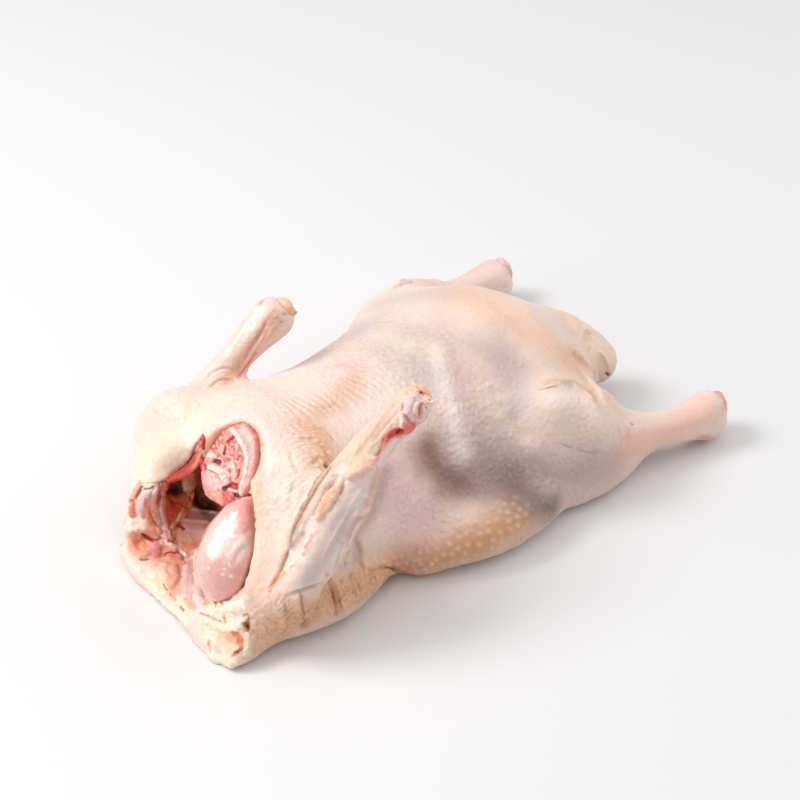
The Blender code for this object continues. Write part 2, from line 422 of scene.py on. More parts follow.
def evenly_spread(places: np.ndarray, share: np.ndarray, gap: float, seed: int) -> list[int]:
    """Picks places that keep clear of one another.

    Args:
        places: The places, one a row.
        share: How strong each is; the faint ones are left out.
        gap: How far apart they are, in metres.
        seed: Which order they are tried in.

    Returns:
        Numbers of the places picked.
    """
    picked, cells = [], {}
    for k in np.random.default_rng(seed).permutation(len(places)):
        if share[k] < FAINT:
            continue
        cell = tuple(np.floor(places[k] / gap).astype(int))
        around = itertools.product(*((c - 1, c, c + 1) for c in cell))
        others = itertools.chain.from_iterable(cells.get(one, ()) for one in around)
        if any(np.linalg.norm(places[k] - other) < gap for other in others):
            continue
        cells.setdefault(cell, []).append(places[k])
        picked.append(k)
    return picked


def rounded_line(pixels: Sequence[Pixel], step: float = 3.0) -> list[Pixel]:
    """A smooth curve through pixels.

    Args:
        pixels: The pixels it passes through.
        step: How far apart the points of the curve are, in pixels.

    Returns:
        The points of the curve.
    """
    if len(pixels) < 2:
        return list(pixels)
    given = [np.array(p, float) for p in pixels]
    given = [2 * given[0] - given[1], *given, 2 * given[-1] - given[-2]]
    curve = []
    for a, b, c, d in zip(given, given[1:], given[2:], given[3:]):
        count = max(2, int(np.linalg.norm(c - b) / step))
        for t in np.arange(count) / count:
            point = 2 * b + (c - a) * t + (2 * a - 5 * b + 4 * c - d) * t**2
            curve.append(tuple(0.5 * (point + (3 * b - a - 3 * c + d) * t**3)))
    curve.append(tuple(given[-2]))
    return curve


@dataclass(frozen=True)
class Eye:
    """Where the duck is seen from, and the picture it is seen in."""

    azimuth: float = math.radians(49.0)
    elevation: float = math.radians(37.0)
    distance: float = 1.3
    target: Triple = (0.0, 0.0029, 0.0555)
    picture: float = 800.0
    focal: float = 2184.0
    sensor: float = 36.0
    nearest: float = 0.05

    def back(self) -> Vector:
        """The direction from the duck to the eye."""
        turn, flat = self.azimuth, math.cos(self.elevation)
        return Vector((math.sin(turn) * flat, -math.cos(turn) * flat, math.sin(self.elevation)))

    def right(self) -> Vector:
        """The direction that is to the right in the picture."""
        return Vector((math.cos(self.azimuth), math.sin(self.azimuth), 0.0))

    def up(self) -> Vector:
        """The direction that is up in the picture."""
        return self.back().cross(self.right())

    def place(self) -> Vector:
        """Where the eye is."""
        return Vector(self.target) + self.back() * self.distance

    def ray(self, pixel: Pixel) -> Vector:
        """The direction in which the eye sees a pixel.

        Args:
            pixel: Place in the picture.

        Returns:
            A unit vector from the eye.
        """
        half = self.picture / 2
        across, down = pixel[0] - half, pixel[1] - half
        return (self.right() * across - self.up() * down - self.back() * self.focal).normalized()

    def make_camera(self) -> None:
        """Adds the camera and makes it the scene's."""
        bpy.ops.object.camera_add(location=self.place())
        camera = bpy.context.object
        camera.name = "eye"
        camera.rotation_mode = "QUATERNION"
        camera.rotation_quaternion = (-self.back()).to_track_quat("-Z", "Y")
        camera.data.sensor_width = self.sensor
        camera.data.lens = self.sensor * self.focal / self.picture
        camera.data.clip_start = self.nearest
        bpy.context.scene.camera = camera


class Surface:
    """The surface of one piece, while its relief and its colours are worked one by one."""

    def __init__(self, piece: bpy.types.Object, eye: Eye, ground: Tint) -> None:
        """Reads a piece.

        Args:
            piece: The piece, whose object is at the origin.
            eye: Where its strokes are seen from.
            ground: The colour it starts with.
        """
        self.piece = piece
        self.eye = eye
        mesh = piece.data
        mesh.calc_loop_triangles()
        places = np.empty(len(mesh.vertices) * 3)
        mesh.vertices.foreach_get("co", places)
        corners = np.empty(len(mesh.loop_triangles) * 3, np.int32)
        mesh.loop_triangles.foreach_get("vertices", corners)
        self.places, self.corners = places.reshape(-1, 3), corners.reshape(-1, 3)
        self.colours = np.tile(ground.linear(), (len(self.places), 1))
        self.pebbly = np.zeros(len(self.places))
        self.look()

    def look(self) -> None:
        """Takes in the surface again after it has moved."""
        a, b, c = (self.places[self.corners[:, k]] for k in range(3))
        facing = np.cross(b - a, c - a)
        normals = np.zeros_like(self.places)
        for k, axis in itertools.product(range(3), range(3)):
            normals[:, axis] += np.bincount(self.corners[:, k], facing[:, axis], len(self.places))
        self.normals = normals / np.maximum(np.linalg.norm(normals, axis=1, keepdims=True), 1e-12)
        self.tree = BVHTree.FromPolygons(self.places.tolist(), self.corners.tolist())

    def seen(self, pixel: Pixel) -> tuple[Vector, Vector] | None:
        """What the eye meets at a pixel.

        Args:
            pixel: Place in the picture.

        Returns:
            The place on the surface and its normal, or None where the eye sees past the piece.
        """
        place, normal, _, _ = self.tree.ray_cast(self.eye.place(), self.eye.ray(pixel))
        return None if place is None else (place, normal)

    def route(self, line: Sequence[Pixel], mirrored: bool = False) -> tuple[np.ndarray, np.ndarray]:
        """Lays a line of pixels on the surface.

        Args:
            line: Places in the picture.
            mirrored: Whether the route is the one on the duck's other side.

        Returns:
            Points of the route and the surface's normals there.
        """
        met = [hit for hit in map(self.seen, rounded_line(line)) if hit]
        if mirrored:
            flip = Vector((-1.0, 1.0, 1.0))
            met = [self.tree.find_nearest(place * flip)[:2] for place, _ in met]
        points, normals = (np.array([hit[k] for hit in met]).reshape(-1, 3) for k in (0, 1))
        return points, normals

    def near(self, points: np.ndarray, normals: np.ndarray, reach: float) -> Nearby:
        """Finds what lies near a route.

        Args:
            points: Points of the route.
            normals: The surface's normals there.
            reach: How near, in metres.

        Returns:
            The vertices there.
        """
        low, high = points.min(0) - reach, points.max(0) + reach
        picked = np.flatnonzero(np.all((self.places > low) & (self.places < high), axis=1))
        at = self.places[picked]
        best = np.full(len(picked), 1e9)
        along, side, facing = (np.zeros(len(picked)) for _ in range(3))
        pieces = list(zip(points, points[1:])) or [(points[0], points[0] + 1e-6)]
        for number, (start, end) in enumerate(pieces):
            way = end - start
            length = np.linalg.norm(way)
            if length > LONGEST_STEP:
                continue
            normal = normals[min(number, len(normals) - 1)]
            part = np.clip((at - start) @ way / max(length**2, 1e-12), 0, 1)
            offset = at - start - part[:, None] * way
            distance = np.linalg.norm(offset, axis=1)
            closer = distance < best
            across = np.cross(normal, way / max(length, 1e-9))
            best = np.where(closer, distance, best)
            along = np.where(closer, (number + part) / len(pieces), along)
            side = np.where(closer, offset @ across, side)
            facing = np.where(closer, self.normals[picked] @ normal, facing)
        kept = best < reach
        turned = np.clip((facing - FACING_FROM) / FACING_SPAN, 0, 1)
        return Nearby(points, normals, picked[kept], best[kept], along[kept], side[kept], turned[kept])

    def laid(
        self, strokes: Sequence[Stroke], reach: Callable[[Stroke], float], mirrored: bool = False,
        fewest: int = 1,
    ) -> Iterator[tuple[int, Stroke, Nearby]]:
        """Lays strokes on the surface, one after another.

        Args:
            strokes: The strokes.
            reach: Tells how near its line a stroke works, in metres.
            mirrored: Whether they are laid on the duck's other side.
            fewest: How many points of its line a stroke needs on the surface.

        Yields:
            A stroke's number, the stroke, and what lies near it.
        """
        for number, stroke in enumerate(strokes):
            points, normals = self.route(stroke.line, mirrored)
            if len(points) >= fewest:
                yield number, stroke, self.near(points, normals, reach(stroke))

    def relieve(
        self, strokes: Sequence[Relief], mirrored: bool = False, strength: float | np.ndarray = 1.0
    ) -> None:
        """Works strokes of relief into the surface, and paints shade along their grooves, creases and laps.

        Args:
            strokes: The strokes.
            mirrored: Whether they are worked on the duck's other side.
            strength: How strongly, for all vertices or for each.
        """
        strength = np.broadcast_to(strength, len(self.places))
        for _, stroke, by in self.laid(strokes, lambda one: one.width * MM * RELIEF_SPREAD, mirrored,
        fewest=2):
            at = self.places[by.picked]
            ragged = RAGGED * stroke.ragged * soft_noise(at, RAGGED_SIZE, RAGGED_SEED)
            x = by.distance / (stroke.width * MM) * (1 + ragged)
            shape = stroke.profile.height(x, -by.side if mirrored else by.side)
            broken = STEADY + BROKEN * soft_noise(at, BROKEN_SIZE, BROKEN_SEED)
            fade = by.turned * np.sqrt(near_end(by.along, TAPER)) * broken * strength[by.picked]
            self.places[by.picked] += self.normals[by.picked] * (shape * fade * stroke.height * MM)[:, None]
            # painted shade down a groove, crease or lap
            if stroke.profile is not Profile.RIDGE:
                self.mix(by.picked, stroke.tint, np.exp(-((x / PAINTED_SHADE_WIDTH) ** 2)) * fade * stroke.shade)
        self.look()

    def mix(self, picked: np.ndarray, tint: Tint, share: np.ndarray) -> None:
        """Mixes a tint into the colours.

        Args:
            picked: Numbers of the vertices.
            tint: The tint.
            share: How much of it each takes, from 0 to 1.
        """
        share = np.clip(share, 0, 1)[:, None]
        self.colours[picked] = self.colours[picked] * (1 - share) + tint.linear() * share

    def colour(
        self, strokes: Sequence[Touch], mirrored: bool = False, strength: float | np.ndarray = 1.0
    ) -> None:
        """Lays strokes of colour on the surface.

        Args:
            strokes: The strokes.
            mirrored: Whether they are laid on the duck's other side.
            strength: How strongly, for all vertices or for each.
        """
        strength = np.broadcast_to(strength, len(self.places))
        for number, stroke, by in self.laid(strokes, lambda one: one.width * MM * COLOUR_SPREAD, mirrored):
            width = stroke.width * MM
            turned = np.clip(2 * by.turned - 1, 0, 1)
            at, size = self.places[by.picked], width * COLOUR_RAGGED_SIZE
            ragged = 1 + COLOUR_RAGGED * soft_noise(at, size, COLOUR_SEED + number)
            power = SHARP if stroke.width < WASH_WIDTH else SOFT
            share = stroke.strength * np.exp(-((by.distance * ragged / width) ** power)) * turned
            self.mix(by.picked, stroke.tint, share * strength[by.picked])

    def roughen(self, strokes: Sequence[Grain], mirrored: bool = False) -> None:
        """Says where the skin is pebbly.

        Args:
            strokes: The strokes.
            mirrored: Whether they are laid on the duck's other side.
        """
        for _, stroke, by in self.laid(strokes, lambda one: one.width * COLOUR_SPREAD * MM, mirrored):
            share = stroke.strength * np.exp(-((by.distance / (stroke.width * MM)) ** 2))
            self.pebbly[by.picked] = np.maximum(self.pebbly[by.picked], share)

    def push(self, pushes: Sequence[Push]) -> None:
        """Presses the surface in or draws it out softly.

        Args:
            pushes: The pushes.
        """
        for _, one, by in self.laid(pushes, lambda one: one.reach * MM * PUSH_SPREAD):
            weight = np.exp(-((by.distance / (one.reach * MM)) ** 2)) * by.turned
            self.places[by.picked] += by.normals.mean(0) * (weight * one.way * MM)[:, None]
        self.look()

    def drag(self, drags: Sequence[Drag]) -> None:
        """Draws the surface along the picture.

        Args:
            drags: Where and how far.
        """
        size = self.eye.distance / self.eye.focal
        for _, one, by in self.laid(drags, lambda one: one.reach * MM * PUSH_SPREAD):
            way = (self.eye.right() * one.way[0] - self.eye.up() * one.way[1]) * size
            weight = np.exp(-((by.distance / (one.reach * MM)) ** 2)) * by.turned
            self.places[by.picked] += np.array(way) * weight[:, None]
        self.look()

    def ripple(self, wrinkles: Sequence[Ripples], mirrored: bool = False) -> None:
        """Works fine wavy wrinkles into the surface, and paints shade in their valleys.

        Args:
            wrinkles: The fields of wrinkles.
            mirrored: Whether they are worked on the duck's other side.
        """
        for number, one, by in self.laid(wrinkles, lambda one: one.reach * RIPPLE_SPREAD * MM, mirrored,
        fewest=2):
            at = self.places[by.picked]
            length = np.linalg.norm(np.diff(by.points, axis=0), axis=1).sum()
            along = np.linalg.norm(at - by.points[0], axis=1) / length if one.curled else by.along
            phase = along * length / (one.spacing * MM)
            phase = phase + RIPPLE_BEND * soft_noise(at, one.spacing * 4 * MM, RIPPLE_SEED + number)
            broken = soft_noise(at, one.spacing * 2 * MM, RIPPLE_BROKEN_SEED + number)
            broken = RIPPLE_EVEN + RIPPLE_UNEVEN * broken
            fade = np.exp(-((by.distance / (one.reach * MM)) ** 4)) * near_end(along, RIPPLE_TAPER)
            wave = np.sin(2 * math.pi * phase) * broken * fade * by.turned
            self.places[by.picked] += self.normals[by.picked] * (wave * one.height * MM)[:, None]
            # painted shade in the valleys of the wrinkles
            self.mix(by.picked, Tint.TAN, RIPPLE_SHADE * np.clip(-wave, 0, 1))
        self.look()

    def pimple(self, fields: Sequence[Pimples], mirrored: bool = False) -> None:
        """Raises feather pits, spread evenly, with their own pale colour and painted highlight on their
        crests.

        Args:
            fields: The fields of pits.
            mirrored: Whether they are raised on the duck's other side.
        """
        for number, one, by in self.laid(fields, lambda one: one.reach * MM * PIMPLE_SPREAD, mirrored):
            share = np.exp(-((by.distance / (one.reach * MM)) ** 4)) * by.turned
            at = self.places[by.picked]
            for k in evenly_spread(at, share, one.spacing * MM, PIT_SEED + number):
                offset = np.linalg.norm(self.places[by.picked] - at[k], axis=1) / (one.size * MM)
                low = np.flatnonzero(offset < 2)
                bump = np.exp(-(offset[low] ** 2)) * share[k]
                here = by.picked[low]
                self.places[here] += self.normals[here] * (bump * one.height * MM)[:, None]
                # tint on the crest: partly the pit's own pale colour, partly painted highlight
                self.mix(here, one.tint, bump * one.strength)
        self.look()

    def model(self, strands: Sequence[Strand]) -> None:
        """Lays strands and lumps on the surface and grows them into it.

        Args:
            strands: The strands, the lower ones first.
        """
        rise = np.zeros(len(self.places))
        for number, strand, by in self.laid(strands, lambda one: max(one.widths) * STRAND_SPREAD * MM):
            at = self.places[by.picked]
            ragged = 0.3 * soft_noise(at, 0.0035, STRAND_SEED + number)
            ragged = ragged + 0.22 * soft_noise(at, 0.0013, EDGE_SEED + number)
            x = by.distance / (along_line(by.along, strand.widths) * MM) * (1 + ragged)
            height = along_line(by.along, strand.heights) * MM
            cap = np.clip(1 - x**2, 0, 1) ** STRAND_ROUNDNESS * height * by.turned
            cap = cap * (1 + 0.35 * soft_noise(at, 0.003, HEIGHT_SEED + number))
            low = rise[by.picked]
            rise[by.picked] = np.where(height > 0, np.maximum(low, cap), low + cap)
            share = np.clip((TINT_END - x) / TINT_FADE, 0, TINT_MOST) * by.turned
            self.mix(by.picked, strand.tint, share)
        self.places += self.normals * rise[:, None]
        self.look()

    def sponge(self, strokes: Sequence[Grain], tint: Tint) -> None:
        """Opens the surface into uneven pores, as in cut bone.

        Args:
            strokes: Where.
            tint: The colour down in the pores.
        """
        share = np.zeros(len(self.places))
        for _, stroke, by in self.laid(strokes, lambda one: one.width * SPONGE_SPREAD * MM):
            fade = stroke.strength * by.turned * np.exp(-((by.distance / (stroke.width * MM)) ** 4))
            share[by.picked] = np.maximum(share[by.picked], fade)
        rough = soft_noise(self.places, PORE_SIZE * MM, PORE_SEED)
        fine = soft_noise(self.places, FINE_PORE_SIZE * MM, FINE_PORE_SEED)
        rough = rough + FINE_PORES * fine
        self.places += self.normals * (rough * share * PORE_HEIGHT * MM)[:, None]
        everywhere = np.arange(len(share))
        self.mix(everywhere, tint, np.clip(-rough - PORE_LEVEL, 0, PORE_TINT) * share)
        self.mix(everywhere, Tint.MILK, np.clip(rough - PORE_LEVEL, 0, RIM_TINT) * share)
        self.look()

    def crumple(self, uneven: Unevenness, share: np.ndarray | float = 1.0) -> None:
        """Makes the surface uneven.

        Args:
            uneven: The unevenness.
            share: How much of it each vertex takes, from 0 to 1.
        """
        rise = soft_noise(self.places, uneven.size * MM, uneven.seed) * share * uneven.height * MM
        self.places += self.normals * rise[:, None]
        self.look()

    def grow(self, height: float) -> None:
        """Lets the whole surface grow outwards.

        Args:
            height: How far, in metres.
        """
        self.places += self.normals * height
        self.look()

    def touched_by(
        self, strokes: Sequence[Relief | Ripples | Pimples | Strand], mirrored: bool = False
    ) -> np.ndarray:
        """Which vertices strokes of relief will reach.

        Args:
            strokes: The strokes.
            mirrored: Whether they are worked on the duck's other side.

        Returns:
            True or False for each vertex.
        """
        touched = np.zeros(len(self.places), bool)
        for _, _, by in self.laid(strokes, lambda one: one.reach * MM, mirrored, fewest=2):
            touched[by.picked] = True
        return touched

    def keep_inside(self, low: Vector, high: Vector) -> None:
        """Keeps the surface inside a box.

        Args:
            low: The box's lowest corner.
            high: Its highest corner.
        """
        self.places = np.clip(self.places, np.array(low), np.array(high))

    def done(self) -> bpy.types.Object:
        """Writes places and colours back to the piece.

        Returns:
            The piece.
        """
        mesh = self.piece.data
        mesh.vertices.foreach_set("co", self.places.astype(np.float32).ravel())
        layer = mesh.color_attributes.new(PAINT, "FLOAT_COLOR", "POINT")
        rgba = np.ones((len(self.places), 4), np.float32)
        rgba[:, :3] = self.colours
        rgba[:, 3] = np.clip(self.pebbly, 0, 1)
        layer.data.foreach_set("color", rgba.ravel())
        mesh.update()
        choose(self.piece)
        bpy.ops.object.shade_smooth()
        return self.piece


class Shading:
    """A material while its nodes are put together."""

    def __init__(self, name: str) -> None:
        """Starts a material.

        Args:
            name: The material's name.
        """
        self.material = bpy.data.materials.new(name)
        self.material.use_nodes = True
        self.tree = self.material.node_tree
        self.shader = self.tree.nodes["Principled BSDF"]

    def node(self, kind: str, values: dict[str | int, object], **settings: object) -> bpy.types.Node:
        """Adds a node.

        Args:
            kind: The node's type, after ShaderNode.
            values: What goes into its inputs: a number, a colour, or another node's output.
            settings: The node's own settings.

        Returns:
            The node.
        """
        made = self.tree.nodes.new("ShaderNode" + kind)
        for name, value in settings.items():
            setattr(made, name, value)
        for socket, value in values.items():
            self.set(made, socket, value)
        return made

    def set(self, node: bpy.types.Node, socket: str | int, value: object) -> None:
        """Fills one input of a node.

        Args:
            node: The node.
            socket: The input's name or number.
            value: A number, a colour, or another node's output.
        """
        if isinstance(value, bpy.types.NodeSocket):
            self.tree.links.new(value, node.inputs[socket])
        else:
            node.inputs[socket].default_value = value

    def sum(self, operation: str, *values: object) -> bpy.types.NodeSocket:
        """Works a number out from others.

        Args:
            operation: How, as a Math node names it.
            values: Numbers or outputs.

        Returns:
            The result, as an output.
        """
        return self.node("Math", dict(enumerate(values)), operation=operation).outputs[0]

    def ranged(
        self, value: bpy.types.NodeSocket, span: tuple[float, ...], **settings: object
    ) -> bpy.types.NodeSocket:
        """Brings a number from one range to another.

        Args:
            value: The number.
            span: Where the first range starts and ends, and where the second does.
            settings: The node's own settings.

        Returns:
            The result, as an output.
        """
        ends = dict(zip(("From Min", "From Max", "To Min", "To Max"), span))
        return self.node("MapRange", {"Value": value, **ends}, **settings).outputs["Result"]

    def times(self, colour: bpy.types.NodeSocket, factor: bpy.types.NodeSocket) -> bpy.types.NodeSocket:
        """Makes a colour darker or lighter.

        Args:
            colour: The colour.
            factor: How many times as light.

        Returns:
            The result, as an output.
        """
        return self.node("VectorMath", {0: colour, 3: factor}, operation="SCALE").outputs[0]


@dataclass(frozen=True)
class WetFinish:
    """Raw skin, flesh, fat or bone: given colour, mottled and grained, under a moist surface."""

    name: str
    roughness: float = 0.42
    coat: float = 0.2
    coat_roughness: float = 0.25
    scatter: float = 0.25
    depth: float = 0.0014
    radius: Triple = (1.0, 0.42, 0.25)
    ior: float = 1.4
    mottle: float = 0.06
    mottle_size: float = 0.006
    grain: float = 0.35
    grain_size: float = 0.0011
    bump: float = 0.7
    pits: float = 0.0
    pit_size: float = 0.0031
    # how dark the shade painted between the feather pits is
    pit_shade: float = 0.11
    creases: float = 0.0
    crease_size: float = 0.0042
    crease_bend: float = 0.004
    tone_stops: tuple[float, float] = (0.36, 0.64)      # noise from which tones turn, and up to which
    spot_span: tuple[float, float] = (0.3, 0.7)         # the same for the grain's spots
    dome_span: tuple[float, float] = (0.1, 0.6)         # how near a pit's middle its dome falls off
    gloss_span: tuple[float, float] = (0.35, 0.65)      # noise over which the gloss changes
    wetter: float = 0.08                                # how far the roughness goes below its value
    drier: float = 0.1                                  # and above it

    def tones(self) -> tuple[tuple[float, ...], tuple[float, ...]]:
        """The warmest and the coolest tone of the mottling, as shares of the given colour."""
        warmest = (1.0, 1 - self.mottle * 0.65, 1 - self.mottle * 0.8, 1.0)
        return warmest, (1 - self.mottle * 0.3, 1.0, 1.0, 1.0)

    def material(self) -> bpy.types.Material:
        """Puts the material together.

        Returns:
            The material.
        """
        make = Shading(self.name)
        place = make.node("TexCoord", {}).outputs["Object"]
        paint = make.node("Attribute", {}, attribute_name=PAINT)
        broad = make.node(
            "TexNoise", {"Vector": place, "Scale": 1 / self.mottle_size, "Detail": 4.0, "Roughness": 0.6}
        )
        fine = make.node("TexNoise", {"Vector": place, "Scale": 0.45 / self.grain_size, "Detail": 3.0})
        pitted = make.sum("MULTIPLY", paint.outputs["Alpha"], self.pits)
        pores = make.node("TexVoronoi", {"Vector": place, "Scale": 1 / self.pit_size}, feature="SMOOTH_F1")
        from_pit = pores.outputs["Distance"]
        dome = make.ranged(from_pit, (*self.dome_span, 1.0, 0.0), interpolation_type="SMOOTHSTEP")
        make.set(make.shader, "Base Color", self.mottled(make, paint, broad, fine, dome, pitted))
        height = make.sum("MULTIPLY_ADD", fine.outputs["Fac"], self.grain, make.sum("MULTIPLY", dome,
        pitted))
        if self.creases:
            height = self.creased(make, place, paint, broad, height)
        bump = make.node("Bump", {"Height": height, "Strength": self.bump, "Distance": self.grain_size})
        ends = (self.roughness - self.wetter, self.roughness + self.drier)
        gloss = make.ranged(broad.outputs["Fac"], (*self.gloss_span, *ends))
        for socket, value in (
            ("Normal", bump.outputs["Normal"]),
            ("Roughness", gloss),
            ("Subsurface Weight", self.scatter),
            ("Subsurface Radius", self.radius),
            ("Subsurface Scale", self.depth),
            ("Coat Weight", self.coat),
            ("Coat Roughness", self.coat_roughness),
            ("IOR", self.ior),
        ):
            make.set(make.shader, socket, value)
        return make.material

    def mottled(
        self, make: Shading, paint: bpy.types.Node, broad: bpy.types.Node, fine: bpy.types.Node,
        dome: bpy.types.NodeSocket, pitted: bpy.types.NodeSocket,
    ) -> bpy.types.NodeSocket:
        """The given colour, mottled, speckled, and with painted shade between the pits.

        Args:
            make: The material.
            paint: The given colour.
            broad: Noise of the mottling.
            fine: Noise of the grain.
            dome: How high the feather pits stand.
            pitted: How much of them shows.

        Returns:
            The colour, as an output.
        """
        warm = make.node("ValToRGB", {"Fac": broad.outputs["Fac"]})
        for stop, share, tone in zip(warm.color_ramp.elements, self.tone_stops, self.tones()):
            stop.position = share
            stop.color = tone
        mixed = {0: paint.outputs["Color"], 1: warm.outputs["Color"]}
        toned = make.node("VectorMath", mixed, operation="MULTIPLY").outputs[0]
        shades = (1 - self.mottle * 0.8, 1 + self.mottle * 0.4)
        spots = make.ranged(fine.outputs["Fac"], (*self.spot_span, *shades))
        # painted shade in the valleys between the feather pits
        valley = make.sum("MULTIPLY", make.ranged(dome, (0.0, 1.0, 1.0, 0.0)), pitted)
        light = make.sum("SUBTRACT", 1.0, make.sum("MULTIPLY", valley, self.pit_shade))
        return make.times(make.times(toned, spots), light)

    def creased(
        self, make: Shading, place: bpy.types.NodeSocket, paint: bpy.types.Node, broad: bpy.types.Node,
        height: bpy.types.NodeSocket,
    ) -> bpy.types.NodeSocket:
        """Adds the net of fine creases to the height of the surface.

        Args:
            make: The material.
            place: Where the surface is.
            paint: The given colour, which says where the skin is pebbly.
            broad: Noise that bends the creases.
            height: The height so far.

        Returns:
            The height with the creases, as an output.
        """
        bend = {0: broad.outputs["Color"], 1: (self.crease_bend,) * 3, 2: place}
        bent = make.node("VectorMath", bend, operation="MULTIPLY_ADD").outputs[0]
        net = {"Vector": bent, "Scale": 1 / self.crease_size, "Detail": 3.0}
        folded = make.node("TexNoise", net, noise_type="RIDGED_MULTIFRACTAL")
        deep = make.sum("MULTIPLY_ADD", paint.outputs["Alpha"], self.creases, self.creases * 0.3)
        return make.sum("MULTIPLY_ADD", folded.outputs["Fac"], deep, height)


def copy_of_node(
    nodes: dict[str, bpy.types.Object], node: str, name: str, voxel: float, smoothing: int
) -> bpy.types.Object:
    """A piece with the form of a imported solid, skinned afresh with small even faces.

    Args:
        nodes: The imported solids.
        node: Which solid.
        name: The piece's name.
        voxel: Size of the faces, in metres.
        smoothing: How many times it is smoothed.

    Returns:
        The piece.
    """
    piece = bpy.data.objects.new(name, nodes[node].data.copy())
    piece.data.name = name
    piece.data.materials.clear()
    bpy.context.scene.collection.objects.link(piece)
    with editing(piece, everything=True):
        bpy.ops.mesh.remove_doubles(threshold=0.00001)
    finish_with(piece, "REMESH", mode="VOXEL", voxel_size=voxel)
    finish_with(piece, "SMOOTH", factor=0.5, iterations=smoothing)
    return piece


C, G, R, L = Profile.CREASE, Profile.GROOVE, Profile.RIDGE, Profile.LAP
T = Tint


